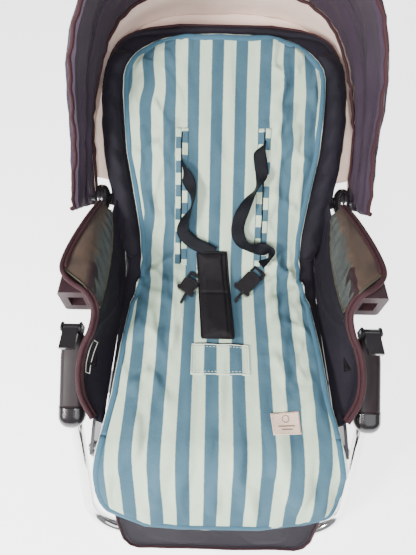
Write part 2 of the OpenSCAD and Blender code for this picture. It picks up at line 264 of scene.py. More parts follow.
def striped(name, pitch=STRIPE, vertical=True, shift=-0.002):
    """Printed cotton in two colours, striped along the cloth's own flat coordinates."""
    n = Nodes(name)
    flat = n.uv()
    u, v = n.split(flat)[:2]
    coordinate = u if vertical else v
    wander = n.math("MULTIPLY", n.math("SUBTRACT", n.noise(flat, 160.0, 2.0), 0.5), 0.0012)
    turn = n.math("MULTIPLY", n.math("ADD", n.math("SUBTRACT", coordinate, shift), wander), math.pi / pitch)
    edge = n.ramp(n.math("SINE", turn), -0.10, 0.10)
    slub = n.ramp(n.noise(flat, 700.0, 2.0), 0.25, 0.75)
    faded = n.ramp(n.noise(flat, 14.0, 4.0), 0.3, 0.75)
    blue = n.mix(n.math("MULTIPLY", n.math("ADD", slub, faded), 0.42), BLUE, (0.080, 0.152, 0.198))
    cream = n.mix(n.math("MULTIPLY", n.math("ADD", slub, faded), 0.40), CREAM, (0.58, 0.66, 0.52))
    n.set("Base Color", n.mix(edge, blue, cream))
    n.set("Roughness", n.scaled(slub, 0.1, 0.82))
    n.set("Specular IOR Level", 0.12)
    threads = n.math("MULTIPLY", n.wave(u, 0.0009), n.wave(v, 0.0009))
    creases = n.noise(flat, 30.0, 5.0, 0.7)
    n.bump(threads, 0.25, 0.0003, n.bump(creases, 0.5, 0.004))
    return n.material


def plastic(name, colour, rough, grain=900.0, coat=0.0, bump=0.08, shine=0.5):
    """Moulded plastic with a fine grain and slightly uneven gloss."""
    n = Nodes(name)
    vector = n.place()
    fine = n.noise(vector, grain, 2.0)
    wide = n.noise(vector, 22.0, 4.0)
    light = tuple(c * 1.5 + 0.003 for c in colour)
    n.set("Base Color", n.mix(n.ramp(wide, 0.35, 0.75), colour, light))
    n.set("Roughness", n.scaled(wide, 0.18, rough - 0.09))
    n.set("Specular IOR Level", shine)
    n.set("Coat Weight", coat)
    n.set("Coat Roughness", 0.12)
    n.bump(fine, bump, 0.0004)
    return n.material


def metal(name, colour, rough, brushed=0.0):
    """Metal with faint drawing marks along the tube and a slightly uneven polish."""
    n = Nodes(name)
    vector = n.place()
    wide = n.noise(vector, 30.0, 4.0)
    fine = n.noise(vector, 1400.0, 2.0)
    n.set("Base Color", n.mix(n.ramp(wide, 0.3, 0.8), colour, tuple(min(1.0, c * 1.12) for c in colour)))
    n.set("Metallic", 1.0)
    n.set("Roughness", n.scaled(wide, 0.10, rough - 0.03))
    n.bump(fine, 0.03 + brushed, 0.0003)
    return n.material


def webbing_material(name, colour):
    """Polyester webbing: ribs across the strap, drawn on its flat coordinates."""
    n = Nodes(name)
    flat = n.uv()
    u, v = n.split(flat)[:2]
    ribs = n.wave(v, 0.0016)
    chevron = n.wave(n.math("ADD", v, n.math("ABSOLUTE", u)), 0.003)
    shade = n.ramp(n.noise(flat, 260.0, 3.0), 0.25, 0.75)
    light = tuple(c * 2.1 + 0.003 for c in colour)
    tone = n.math("MULTIPLY", n.math("ADD", shade, n.ramp(chevron, -1, 1)), 0.45)
    n.set("Base Color", n.mix(tone, colour, light))
    n.set("Roughness", n.scaled(shade, 0.1, 0.55))
    n.set("Specular IOR Level", 0.15)
    n.bump(ribs, 0.4, 0.0005)
    return n.material


def mesh_material(name):
    """Open net: a lattice of threads with holes between them, over a brown shade."""
    n = Nodes(name)
    flat = n.uv()
    u, v = n.split(flat)[:2]
    a, b = n.wave(n.math("ADD", u, v), 0.0022), n.wave(n.math("SUBTRACT", u, v), 0.0022)
    threads = n.math("MAXIMUM", n.ramp(a, 0.25, 0.75), n.ramp(b, 0.25, 0.75))
    shade = n.ramp(n.noise(flat, 18.0, 4.0), 0.35, 0.7)
    inside = n.mix(shade, (0.016, 0.019, 0.018), (0.052, 0.062, 0.058))
    over = n.mix(shade, (0.028, 0.0145, 0.0085), (0.066, 0.036, 0.020))
    top = n.ramp(n.math("ADD", v, n.math("MULTIPLY", shade, 0.010)), 0.042, 0.052)
    n.set("Base Color", n.mix(top, inside, over))
    n.set("Alpha", n.math("MAXIMUM", threads, 0.94))
    n.set("Roughness", n.scaled(shade, 0.2, 0.45))
    n.set("Sheen Weight", 0.1)
    n.bump(threads, 0.5, 0.0006)
    return n.material


MAT = {
    "liner": striped("striped cotton"),
    "ladder": striped("ladder cotton", vertical=False),
    "binding": fabric("blue bias binding", (0.040, 0.098, 0.140), pitch=0.0008, sheen=0.05, vary=0.5),
    "piping": fabric("cream piping", (0.50, 0.55, 0.46), pitch=0.0008, sheen=0.05),
    "navy": fabric("navy nylon", (0.0072, 0.0058, 0.0095), light=(0.019, 0.0155, 0.025), rough=0.62,
                   sheen=0.05),
    "hood": fabric("hood polyester", (0.024, 0.0145, 0.025), light=(0.056, 0.037, 0.058), rough=0.60,
                   sheen=0.08),
    "maroon": fabric("maroon binding", (0.026, 0.0085, 0.0115), light=(0.052, 0.020, 0.024), rough=0.6,
                     pitch=0.0009, sheen=0.08),
    "lining": fabric("cream hood lining", (0.80, 0.60, 0.51), light=(0.92, 0.75, 0.66), rough=0.8,
                     sheen=0.08),
    "crotch": fabric("crotch pad nylon", (0.0045, 0.0036, 0.0048), light=(0.0115, 0.0092, 0.0120),
                     rough=0.62, sheen=0.05),
    "webbing": webbing_material("navy webbing", (0.0018, 0.0020, 0.0038)),
    "mesh": mesh_material("side mesh"),
    "mesh_edge": fabric("olive edge tape", (0.045, 0.040, 0.028), light=(0.075, 0.068, 0.050), pitch=0.0008),
    "thread": fabric("cream thread", (0.62, 0.60, 0.52), pitch=0.0006, strength=0.1),
    "tag": fabric("woven label", (0.62, 0.45, 0.35), light=(0.72, 0.56, 0.45), pitch=0.0007, sheen=0.1),
    "tag_print": fabric("label print", (0.16, 0.10, 0.07), pitch=0.0007, sheen=0.1),
    "ladder_b": striped("ladder cotton shifted", vertical=False, shift=0.008),
    "label": fabric("dark label", (0.008, 0.008, 0.014), pitch=0.0008, sheen=0.15),
    "gloss": plastic("gloss black plastic", (0.007, 0.0055, 0.0065), 0.20, coat=0.6),
    "socket": plastic("socket plastic", (0.020, 0.0088, 0.0112), 0.42, bump=0.14, shine=0.30),
    "cover": plastic("side cover plastic", (0.010, 0.0055, 0.0070), 0.50, shine=0.20),
    "matt": plastic("matt black plastic", (0.0060, 0.0050, 0.0060), 0.46, bump=0.15, shine=0.30),
    "grey": plastic("grey plastic", (0.10, 0.10, 0.11), 0.48),
    "board": plastic("moulded board", (0.030, 0.030, 0.034), 0.55, bump=0.2),
    "paint": plastic("powder coat", (0.022, 0.022, 0.026), 0.38, grain=500.0, coat=0.2),
    "steel": metal("zinc plated steel", (0.60, 0.60, 0.62), 0.34),
    "spring": metal("spring steel", (0.34, 0.34, 0.36), 0.38, brushed=0.05),
    "chrome": metal("polished chrome", (0.80, 0.79, 0.78), 0.09),
}

SLOT_MATERIAL = {
    "steel": "steel", "frame_paint": "paint", "board": "board", "navy_fabric": "navy", "hood_fabric": "hood",
    "striped_liner": "liner", "webbing": "webbing", "crotch_fabric": "crotch", "mesh": "mesh",
    "gloss_black": "gloss", "matt_black": "matt", "button_grey": "grey", "bow_steel": "spring",
    "chrome": "chrome",
}


NODE_MATERIAL = {"socket_housing_left": "socket", "socket_housing_right": "socket", "hood_pins": "paint",
                 "bow_mid": "hood", "bow_front": "hood"}


def bevelled(obj, width, segments, angle):
    """Rounds the edges sharper than an angle, so that they catch the light."""
    bevel = obj.modifiers.new("edge", "BEVEL")
    bevel.width, bevel.segments = width, segments
    bevel.limit_method, bevel.angle_limit = "ANGLE", math.radians(angle)
    return obj


def dress_cad_nodes():
    """Every CAD node gets its slot's material; hard ones get a small bevel that catches the light."""
    slots = {row["node"]: row["material_slot"] for row in frame["record"]["subparts"]}
    for name, node in NODES.items():
        node.data.materials.clear()
        node.data.materials.append(MAT[NODE_MATERIAL.get(name, SLOT_MATERIAL[slots[name]])])
        if slots[name] in ("matt_black", "button_grey", "gloss_black", "frame_paint"):
            bevelled(node, 0.0009, 2, 40)


# ---------------------------------------------------------------- mesh helpers

def make(name, verts, faces, materials, flats=None, indices=None, flat_shaded=False):
    """A mesh object from plain lists; flats are flat (u, v) places per vertex, in metres."""
    mesh = bpy.data.meshes.new(name)
    mesh.from_pydata([tuple(v) for v in verts], [], faces)
    for m in materials:
        mesh.materials.append(MAT[m])
    if flats is not None:
        layer = mesh.uv_layers.new(name="flat")
        for loop in mesh.loops:
            layer.data[loop.index].uv = flats[loop.vertex_index]
    if indices is not None:
        mesh.polygons.foreach_set("material_index", indices)
    mesh.polygons.foreach_set("use_smooth", [not flat_shaded] * len(mesh.polygons))
    mesh.update()
    obj = bpy.data.objects.new(name, mesh)
    bpy.context.scene.collection.objects.link(obj)
    return obj


def outward(obj):
    """Makes all the normals of a closed mesh point outwards."""
    bm = bmesh.new()
    bm.from_mesh(obj.data)
    bmesh.ops.recalc_face_normals(bm, faces=bm.faces)
    bm.to_mesh(obj.data)
    bm.free()
    return obj


def ringed(name, verts, ring, material, flats=None, closed=False, capped=True):
    """A mesh through rings of vertices, given one ring after the other, capped or joined at its ends."""
    faces, count = [], len(verts)
    for i in range(0, count if closed else count - ring, ring):
        for k in range(ring):
            a, b = i + k, i + (k + 1) % ring
            faces.append((a, b, (b + ring) % count, (a + ring) % count))
    if capped and not closed:
        faces += [tuple(range(ring))[::-1], tuple(range(count - ring, count))]
    return outward(make(name, verts, faces, [material], flats))


def tube(name, points, radius, material, closed=False, sides=8, flatten=1.0, side=None):
    """A round or flattened tube along points; side(i) gives the direction of its wide axis."""
    pts = [Vector(p) for p in points]
    count = len(pts)
    verts = []
    reach = radius if callable(radius) else (lambda i: radius)
    last = None
    for i, p in enumerate(pts):
        before = pts[i - 1] if (i or closed) else p
        after = pts[(i + 1) % count] if (i < count - 1 or closed) else p
        ahead = (after - before).normalized()
        if side is not None:
            wide = Vector(side(i))
        elif last is None:
            wide = Vector((0, 0, 1)) if abs(ahead.z) < 0.9 else Vector((1, 0, 0))
        else:
            wide = last
        wide = (wide - ahead * wide.dot(ahead)).normalized()
        last = wide
        thin = ahead.cross(wide)
        for k in range(sides):
            a = 2 * math.pi * k / sides
            verts.append(p + wide * math.cos(a) * reach(i) + thin * math.sin(a) * reach(i) * flatten)
    return ringed(name, verts, sides, material, closed=closed)


def stitches(name, points, material="thread", length=0.0032, gap=0.0022, radius=0.0004):
    """A row of short stitches along a line of points."""
    pts = [Vector(p) for p in points]
    lengths = [0.0]
    for a, b in zip(pts, pts[1:]):
        lengths.append(lengths[-1] + (b - a).length)

    def at(s):
        k = max(0, min(len(pts) - 2, int(np.searchsorted(lengths, s)) - 1))
        span = max(1e-9, lengths[k + 1] - lengths[k])
        return pts[k].lerp(pts[k + 1], (s - lengths[k]) / span)

    verts, faces = [], []
    s = gap
    while s + length < lengths[-1]:
        a, b = at(s), at(s + length)
        ahead = (b - a).normalized()
        wide = ahead.orthogonal().normalized()
        thin = ahead.cross(wide)
        base = len(verts)
        for p, r in ((a, 0.4), (a.lerp(b, 0.3), 1.0), (a.lerp(b, 0.7), 1.0), (b, 0.4)):
            for k in range(4):
                angle = math.pi / 2 * k
                verts.append(p + (wide * math.cos(angle) + thin * math.sin(angle)) * radius * r)
        for ring in range(3):
            for k in range(4):
                faces.append((base + ring * 4 + k, base + ring * 4 + (k + 1) % 4,
                              base + ring * 4 + 4 + (k + 1) % 4, base + ring * 4 + 4 + k))
        faces.append((base + 3, base + 2, base + 1, base))
        faces.append((base + 12, base + 13, base + 14, base + 15))
        s += length + gap
    return outward(make(name, verts, faces, [material]))


def ribbon(name, points, wides, width, thickness, material):
    """Flat webbing along points, each with the direction of its width."""
    curve = catmull(points, 10)
    turn = catmull(wides, 10)
    half, run = width / 2, 0.0
    verts, flats = [], []
    profile = [(-1, 0), (-0.9, 1), (-0.45, 0.8), (0, 0.75), (0.45, 0.8), (0.9, 1),
               (1, 0), (0.9, -1), (0.45, -0.8), (0, -0.75), (-0.45, -0.8), (-0.9, -1)]
    for i, p in enumerate(curve):
        ahead = (curve[min(i + 1, len(curve) - 1)] - curve[max(i - 1, 0)]).normalized()
        wide = (turn[i] - ahead * turn[i].dot(ahead)).normalized()
        thin = ahead.cross(wide)
        run += (p - curve[i - 1]).length if i else 0.0
        for a, b in profile:
            verts.append(p + wide * a * half + thin * b * thickness / 2)
            flats.append((a * half, run))
    return ringed(name, verts, len(profile), material, flats)


def polyline(points):
    return sum((b - a).length for a, b in zip(points, points[1:]))


def declare_sheet(grid):
    """Works out the flat width, length and area of a sheet from a grid of points on it, and keeps none of them."""
    long_way = [[row[j] for row in grid] for j in range(len(grid[0]))]
    width, length = max(map(polyline, grid)), max(map(polyline, long_way))
    area = sum(geometry.area_tri(a, b, c) + geometry.area_tri(a, c, d)
               for one, two in zip(grid, grid[1:]) for a, b, c, d in zip(one, one[1:], two[1:], two))


def baked(obj):
    """Takes the modifiers' result as the object's own mesh."""
    result = bpy.data.meshes.new_from_object(obj.evaluated_get(bpy.context.evaluated_depsgraph_get()))
    obj.modifiers.clear()
    obj.data = result


def plump(obj, cap, voxel=0.0, pressure=4.0):
    """Swells a padded piece by cloth simulation under inner pressure; no point moves further than cap."""
    scene = bpy.context.scene
    if voxel:
        remesh = obj.modifiers.new("remesh", "REMESH")
        remesh.mode, remesh.voxel_size, remesh.use_smooth_shade = "VOXEL", voxel, True
        baked(obj)
    start = [v.co.copy() for v in obj.data.vertices]
    cloth = obj.modifiers.new("cloth", "CLOTH").settings
    cloth.quality = 4
    cloth.use_pressure, cloth.uniform_pressure_force = True, pressure
    cloth.effector_weights.gravity = 0
    for number in range(1, 21):
        scene.frame_set(number)
    swollen = obj.evaluated_get(bpy.context.evaluated_depsgraph_get()).to_mesh()
    moved = [v.co.copy() for v in swollen.vertices]
    obj.modifiers.clear()
    scene.frame_set(1)
    for vertex, a, b in zip(obj.data.vertices, start, moved):
        step = b - a
        vertex.co = a + step * (min(1.0, cap / step.length) if step.length else 0)
    subdivide = obj.modifiers.new("subdivide", "SUBSURF")
    subdivide.levels = subdivide.render_levels = 1
    baked(obj)
    return obj


def put(obj, where, replaces=()):
    """Fixes a piece to a body where one is named; given a bend (body, body, start, end), it only bakes the piece's
    placing into its mesh and fixes it to no body.
    """
    if isinstance(where, str):
        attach(obj, where)
    else:
        a, b, start, end = where
        tuple(start)
        tuple(end)
        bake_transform(obj)
    if replaces:
        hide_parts(*replaces)
    return obj


# ---------------------------------------------------------------- the seat's folded line

CREASE_TURN = math.pi / 2 - LEAN
FILLET = 0.12
TANGENT = FILLET * math.tan(CREASE_TURN / 2)
KNEE_R = SEAT_Z - KNEE.z
S_BACK = BACK_TOP - TANGENT
S_CREASE = S_BACK + FILLET * CREASE_TURN
S_KNEE = S_CREASE + CREASE_Y - TANGENT - KNEE.y
S_LEG = S_KNEE + KNEE_R * DROP


def fold(x, s, out):
    """A point over the upholstery; s runs from the back's top, through the crease, to the leg rest's end."""
    if s < S_BACK:
        return back(x, BACK_TOP - s, out)
    if s < S_CREASE:
        a, r = (S_CREASE - s) / FILLET, FILLET - out
        return Vector((x, CREASE_Y - TANGENT + r * math.sin(a), SEAT_Z + FILLET - r * math.cos(a)))
    if s < S_KNEE:
        return Vector((x, CREASE_Y - TANGENT - (s - S_CREASE), SEAT_Z + out))
    if s < S_LEG:
        t = (s - S_KNEE) / (S_LEG - S_KNEE)
        r = KNEE_R + (LEG_SURFACE - KNEE_R) * t + out
        return Vector((x, KNEE.y - r * math.sin(t * DROP), KNEE.z + r * math.cos(t * DROP)))
    return leg(x, s - S_LEG, LEG_SURFACE + out)


def s_up(up):
    """The place on the line of a height up the back; below the crease's curve it runs on evenly."""
    return BACK_TOP - up if up > TANGENT else S_BACK + (TANGENT - up) * (S_CREASE - S_BACK) / (2 * TANGENT)


def s_seat(y):
    """The place on the line of a distance behind (+) or in front of (-) the row frame's axle."""
    if y < CREASE_Y - TANGENT:
        return S_CREASE + CREASE_Y - TANGENT - y
    return S_CREASE - (y - CREASE_Y + TANGENT) * (S_CREASE - S_BACK) / (2 * TANGENT)


def s_leg(down):
    return S_LEG + down


CREASE_BEND = ("frame", "backrest", (0, 0.115, 0.08), back(0, 0.060, 0))
KNEE_BEND = ("frame", "leg_rest", fold(0, S_KNEE, 0), fold(0, S_LEG, 0))


def shell(name, front, rear, materials, flats=None, holes=None, rear_index=None, wall_index=0):
    """A closed sheet between two grids of points. holes(i, j) leaves cells out, walled round."""
    rows, cols = len(front), len(front[0])
    verts = [p for row in front for p in row] + [p for row in rear for p in row]
    uv = [f for row in flats for f in row] * 2 if flats is not None else None
    at = lambda i, j, layer=0: layer * rows * cols + i * cols + j
    gone = lambda i, j: not (0 <= i < rows - 1 and 0 <= j < cols - 1) or bool(holes and holes(i, j))
    faces, index, walls = [], [], []
    for i in range(rows - 1):
        for j in range(cols - 1):
            if gone(i, j):
                continue
            faces.append((at(i, j), at(i + 1, j), at(i + 1, j + 1), at(i, j + 1)))
            index.append(0)
            faces.append((at(i, j, 1), at(i, j + 1, 1), at(i + 1, j + 1, 1), at(i + 1, j, 1)))
            index.append(rear_index(i, j) if rear_index else 0)
            for di, dj, a, b in ((-1, 0, (i, j), (i, j + 1)), (1, 0, (i + 1, j + 1), (i + 1, j)),
                                 (0, -1, (i + 1, j), (i, j)), (0, 1, (i, j + 1), (i + 1, j + 1))):
                if gone(i + di, j + dj):
                    walls.append(len(faces))
                    faces.append((at(*a), at(*b), at(*b, 1), at(*a, 1)))
                    index.append(wall_index)
    obj = make(name, verts, faces, materials, uv, index)
    for w in walls:
        obj.data.polygons[w].use_smooth = False
    return outward(obj)


def folded(name, places, half, top, bottom, materials, columns=60, centre=0.0, holes=None, wall_index=0,
           warp=None):
    """A sheet that follows the folded line: places are its rows, half(s) its half width there, and top(x, s)
    and bottom(x, s) the distances of its two faces from the upholstery."""
    middle = centre if callable(centre) else (lambda s: centre)
    front, rear, flats = [], [], []
    for s in places:
        xs = [middle(s) + (2 * j / columns - 1) * half(s) for j in range(columns + 1)]
        front.append([fold(x, s, top(x, s)) for x in xs])
        rear.append([fold(x, s, bottom(x, s)) for x in xs])
        flats.append([(x, s) for x in xs])
    hole = (lambda i, j: holes(flats[i][j], flats[i + 1][j + 1])) if holes else None
    if warp:
        printed = [[(x + warp(x, s), s) for x, s in row] for row in flats]
        return shell(name, front, rear, materials, printed, hole, wall_index=wall_index)
    return shell(name, front, rear, materials, flats, hole, wall_index=wall_index)


def round_box(x0, y0, x1, y1, count):
    """Points round a rectangle, so many to a side, from its first corner."""
    corners = [(x0, y0), (x1, y0), (x1, y1), (x0, y1), (x0, y0)]
    return [(a + (c - a) * t / count, b + (d - b) * t / count)
            for (a, b), (c, d) in zip(corners, corners[1:]) for t in range(count)]


def steps(a, b, step):
    count = max(2, round(abs(b - a) / step))
    return [a + (b - a) * i / count for i in range(count + 1)]


def rounded(distance, radius):
    """How far a rounded edge drops at a distance in from the edge."""
    if distance >= radius:
        return 0.0
    inward = radius - max(0.0, distance)
    return radius - math.sqrt(max(0.0, radius * radius - inward * inward))


def seam(distance, depth=0.0025, width=0.006):
    """The dip beside a stitched line."""
    return -depth * math.exp(-(distance / width) ** 2)


# ---------------------------------------------------------------- padded upholstery

BACK_EDGE = [(s_up(0.431), 0.040), (s_up(0.4285), 0.078), (s_up(0.425), 0.112), (s_up(0.421), 0.138),
             (s_up(0.415), 0.158), (s_up(0.407), 0.175), (s_up(0.397), 0.187), (s_up(0.382), 0.197),
             (s_up(0.365), 0.203), (s_up(0.320), 0.211), (s_up(0.262), 0.2125), (s_up(0.200), 0.207),
             (s_up(0.125), 0.193), (s_up(0.080), 0.184), (s_up(0.035), 0.172)]


def back_half(s):
    return along(BACK_EDGE, s)


def back_near(x, s):
    """Distance in from the back pad's outline, about."""
    return min(back_half(s) - abs(x), s + 0.002 - 0.009 * (x / 0.14) ** 2)


def back_surface(x, s):
    """The back pad's face: a low crown, rounded edges, a seam inside them and soft wrinkles."""
    near = back_near(x, s)
    crown = 0.003 * smooth(near / 0.09)
    wrinkle = 0.0014 * ripple(x * 9, s * 16, 3) + 0.0011 * ripple(x * 30, s * 30, 7)
    return crown + wrinkle + seam(near - 0.013, 0.003, 0.004) - rounded(near, 0.009) - 0.001


def back_pad():
    """The padded back, wide at the shoulders and narrow at the crease."""
    rows = steps(s_up(0.431), s_up(0.405), 0.0015) + steps(s_up(0.405), s_up(0.036), 0.005)[1:]
    pad = folded("back_pad", rows, back_half, back_surface,
                 lambda x, s: -0.0255 + rounded(back_near(x, s), 0.008), ["navy"], columns=84)
    plump(pad, 0.0016)
    return put(pad, "backrest", ["back_cushion"])


def back_piping():
    """Thin piping round the front edge of the back pad."""
    right = [(back_half(s) - 0.0045, s) for s in steps(s_up(0.428), s_up(0.045), 0.006)]
    line = [(x, s) for x, s in reversed(right)] + [(-x, s) for x, s in right]
    points = [fold(x, s, -0.0045) for x, s in line]
    return put(tube("back_piping", points, 0.0021, "maroon", sides=6), "backrest")


def bolster_span(s):
    """The centre and half width of a side roll: it fills the back pad outside the liner."""
    inner, outer = liner_half(s) + 0.002, back_half(s) - 0.0015
    return (inner + outer) / 2, (outer - inner) / 2


def bolster(side, name):
    """A raised side roll of the back, fullest at the shoulders, gathered along two seams."""
    start, end = s_up(0.385), s_up(0.030)
    rings, ring_size = steps(start, end, 0.006), 28
    verts = []
    for i, s in enumerate(rings):
        t = i / (len(rings) - 1)
        full = round_end(min(t, 1 - t) / 0.10)
        middle, wide = bolster_span(s)
        wide *= 0.45 + 0.55 * full
        tall = 0.0120 * max(0.08, full) * along([(0, 0.8), (0.5, 1.0), (1, 0.9)], t)
        for k in range(ring_size):
            a = 2 * math.pi * k / ring_size
            fold_in = 0.0016 * math.sin(s * 150 + 2.2 * math.cos(a) + side) * max(0.0, math.sin(a))
            crease = seam(a - 1.15, 0.0035, 0.16) + seam(a - 2.35, 0.0025, 0.14)
            x = middle + power(math.cos(a), 0.8) * wide
            out = 0.006 + math.sin(a) * tall + (crease + fold_in) * full
            out += 0.0016 * ripple(x * 24, s * 20, side * 4 + 3)
            verts.append(fold(side * x, s, out))
    roll = ringed("bolster_roll_" + name, verts, ring_size, "navy")
    plump(roll, 0.0035, voxel=0.0045)
    return put(roll, "backrest", ["bolster_" + name])


def seat_half(s):
    return along([(s_up(0.030), 0.172), (s_seat(0.150), 0.1745), (S_KNEE, 0.174), (S_LEG, 0.160),
                  (s_leg(0.060), 0.152), (s_leg(0.135), 0.150), (s_leg(0.158), 0.138),
                  (s_leg(0.168), 0.118)], s)


def seat_surface(x, s):
    edge = seat_half(s) - abs(x)
    crown = 0.003 * smooth(edge / 0.06)
    wrinkle = 0.0016 * ripple(x * 12, s * 14, 21) + 0.0009 * ripple(x * 40, s * 30, 5)
    return crown + wrinkle - rounded(edge, 0.010) - 0.0025


def upholstery_upper():
    """The seat cushion, running a little way up the back so that it closes the crease."""
    rows = steps(s_up(0.050), S_KNEE + 0.004, 0.006)
    depth = lambda x, s: -0.026 + 0.018 * smooth((S_CREASE - 0.03 - s) / 0.05)
    pad = folded("upholstery_upper", rows, seat_half, seat_surface, depth, ["navy"], columns=56)
    plump(pad, 0.0016)
    where = ("frame", "backrest", (0, 0.118, 0.075), back(0, 0.050, 0))
    return put(pad, where, ["seat_cushion"])


LEG_END = s_leg(0.168)


def upholstery_lower():
    """The cushion round the front edge and down the leg rest."""
    rows = steps(S_KNEE, LEG_END, 0.006)
    depth = lambda x, s: -0.018 + 0.010 * smooth((s - LEG_END + 0.03) / 0.03)
    pad = folded("upholstery_lower", rows, seat_half, seat_surface, depth, ["navy"], columns=56)
    plump(pad, 0.0016)
    return put(pad, KNEE_BEND, ["leg_pad"])


def flap():
    """The leg rest's free lower flap, bound in maroon, with a stitch line inside the binding."""
    half = lambda s: along([(s_leg(0.070), 0.156), (s_leg(0.110), 0.154), (s_leg(0.150), 0.147),
                            (s_leg(0.166), 0.137), (s_leg(0.172), 0.124)], s)
    lift = lambda x, s: 0.0012 + 0.0015 * ripple(x * 22, s * 18, 9)
    rows = steps(s_leg(0.070), s_leg(0.172), 0.003)
    cloth = folded("leg_flap", rows, half, lift, lambda x, s: lift(x, s) - 0.0022, ["navy"], columns=56)
    area_of(half, rows[0], rows[-1])
    put(cloth, KNEE_BEND)
    edge = [(half(s), s) for s in rows]
    line = edge + [(x, rows[-1]) for x in steps(half(rows[-1]), -half(rows[-1]), 0.008)[1:-1]]
    line += [(-x, s) for x, s in reversed(edge)]
    rim = tube("leg_flap_binding", [fold(x, s, lift(x, s) - 0.001) for x, s in line], 0.0036, "maroon",
               sides=8,
               flatten=0.6)
    inner = [fold(x * 0.955, s - 0.006, lift(x * 0.95, s) + 0.0006) for x, s in line[4:-4]]
    thread = stitches("leg_flap_stitch", inner, "maroon")
    for piece in (rim, thread):
        put(piece, KNEE_BEND)


# ---------------------------------------------------------------- striped liner

LINER_TOP = s_up(0.408)
LINER_END = s_leg(0.114)
LINER_HALF = [(s_up(0.408), 0.070), (s_up(0.4055), 0.086), (s_up(0.4015), 0.104), (s_up(0.396), 0.120),
              (s_up(0.388), 0.135), (s_up(0.380), 0.146), (s_up(0.370), 0.1565), (s_up(0.357), 0.1655),
              (s_up(0.342), 0.170), (s_up(0.315), 0.171), (s_up(0.257), 0.168), (s_up(0.218), 0.1655),
              (s_up(0.166), 0.156), (s_up(0.113), 0.147), (s_up(0.078), 0.142), (s_up(0.035), 0.140),
              (s_seat(0.166), 0.141), (s_seat(0.110), 0.153), (s_seat(0.035), 0.160),
              (s_seat(-0.045), 0.163), (s_seat(-0.080), 0.168), (S_KNEE, 0.172),
              (S_LEG, 0.179), (s_leg(0.016), 0.180), (s_leg(0.040), 0.180), (s_leg(0.060), 0.176),
              (s_leg(0.078), 0.167), (s_leg(0.092), 0.152), (s_leg(0.103), 0.130), (s_leg(0.110), 0.102),
              (s_leg(0.114), 0.070)]
SLOT_X = (0.0685, 0.0725)
SLOT_UP = (0.026, 0.252)


def liner_half(s):
    return along(LINER_HALF, s)


def liner_near(x, s):
    """Distance in from the liner's outline, about."""
    return min(liner_half(s) - abs(x),
               s - LINER_TOP + 0.004 - 0.018 * (x / 0.12) ** 4 * (s < LINER_TOP + 0.05))


def liner_lift(x, s):
    """How far the liner's face stands off the upholstery: loose folds, gathers at the crease, a wavy end."""
    up = BACK_TOP - s
    edge = liner_half(s) - abs(x)
    lift = 0.0062 + 0.0030 * smooth(edge / 0.05) * smooth((LINER_END - s) / 0.06)
    lift += 0.0032 * ripple(x * 10, s * 7, 1) + 0.0020 * ripple(x * 26, s * 12, 2)
    loose = smooth((abs(x) - 0.045) / 0.06) * smooth((edge - 0.004) / 0.02)
    loose *= 0.35 + 0.65 * smooth((S_KNEE - s) / 0.12)
    tilted = x * 0.8 + math.copysign(s * 0.5, x)
    lift += loose * (0.0060 * ridge(x * 13, s * 9, 41) + 0.0080 * ripple(tilted * 44, s * 16, 9)
                     + 0.0036 * ripple(x * 92, s * 46, 19))
    calm = smooth((edge - 0.004) / 0.02)
    lift += calm * (0.0034 * ripple(x * 52, s * 13, 17) + 0.0030 * ridge(x * 9, s * 4.5, 27))
    lower = smooth((s - S_KNEE + 0.06) / 0.1)
    lower *= smooth((LINER_END - 0.012 - s) / 0.05)
    lift += lower * (0.0030 * math.sin(x * 118 + 4 * ripple(s * 8, 0, 4)) + 0.0060 * ripple(x * 34, s * 5, 6))
    fan = math.atan2(x, max(0.03, s - s_seat(0.075)))
    lift += lower * 0.0052 * math.sin(fan * 17 + 2.5 * ripple(x * 6, s * 6,
                                                              14)) * smooth((abs(x) - 0.012) / 0.03)
    crease = math.exp(-((s - S_CREASE + 0.035) / 0.045) ** 2)
    lift += crease * 0.0052 * math.sin((s * 0.8 + abs(x) * 0.55) * 190) * smooth((abs(x) - 0.045) / 0.07)
    diagonal = (abs(x) - 0.075) * 0.65 + (up - 0.045) * 0.75
    lift += 0.0062 * math.exp(-(diagonal / 0.007) ** 2) * smooth((abs(x) - 0.050) / 0.04)
    shoulder = math.exp(-((up - 0.30) / 0.07) ** 2)
    lift += shoulder * 0.0016 * math.sin(x * 95 + up * 40)
    cut = min(abs(abs(x) - (SLOT_X[0] + SLOT_X[1]) / 2), 0.03)
    if SLOT_UP[0] - 0.02 < up < SLOT_UP[1] + 0.02:
        lift += 0.0022 * math.exp(-(cut / 0.010) ** 2)
    return max(0.0020 + 0.0065 * smooth(edge / 0.03), lift)


def liner_slot(a, b):
    """True for the cells of the two long harness slots."""
    x, up = abs(a[0] + b[0]) / 2, BACK_TOP - (a[1] + b[1]) / 2
    return SLOT_X[0] - 0.0015 < x < SLOT_X[1] + 0.0005 and SLOT_UP[0] < up < SLOT_UP[1]


def stripe_drift(x, s):
    """How far the printed stripes wander where the cloth is bunched: most at the left of the back."""
    up = BACK_TOP - s
    bunched = smooth((abs(x) - 0.06) / 0.07) * smooth((up - 0.02) / 0.08) * (1.25 if x < 0 else 0.6)
    drift = 0.0062 * bunched * (ripple(x * 7, s * 11, 12) + 0.6 * ripple(x * 15, s * 24, 13))
    fan = math.copysign(0.016, x) * smooth((up - 0.30) / 0.10) * smooth((abs(x) - 0.085) / 0.08)
    return drift + fan * (1.0 if x < 0 else 0.5) + 0.0014 * ripple(x * 9, s * 9, 14)


def liner_piece(name, rows):
    thin = lambda x, s: max(0.0012, 0.0042 - 0.003 * (1 - smooth(liner_near(x, s) / 0.01)))
    return folded(name, rows, liner_half, liner_lift, lambda x, s: liner_lift(x, s) - thin(x, s), ["liner"],
                  columns=112,
                  holes=liner_slot, warp=stripe_drift)


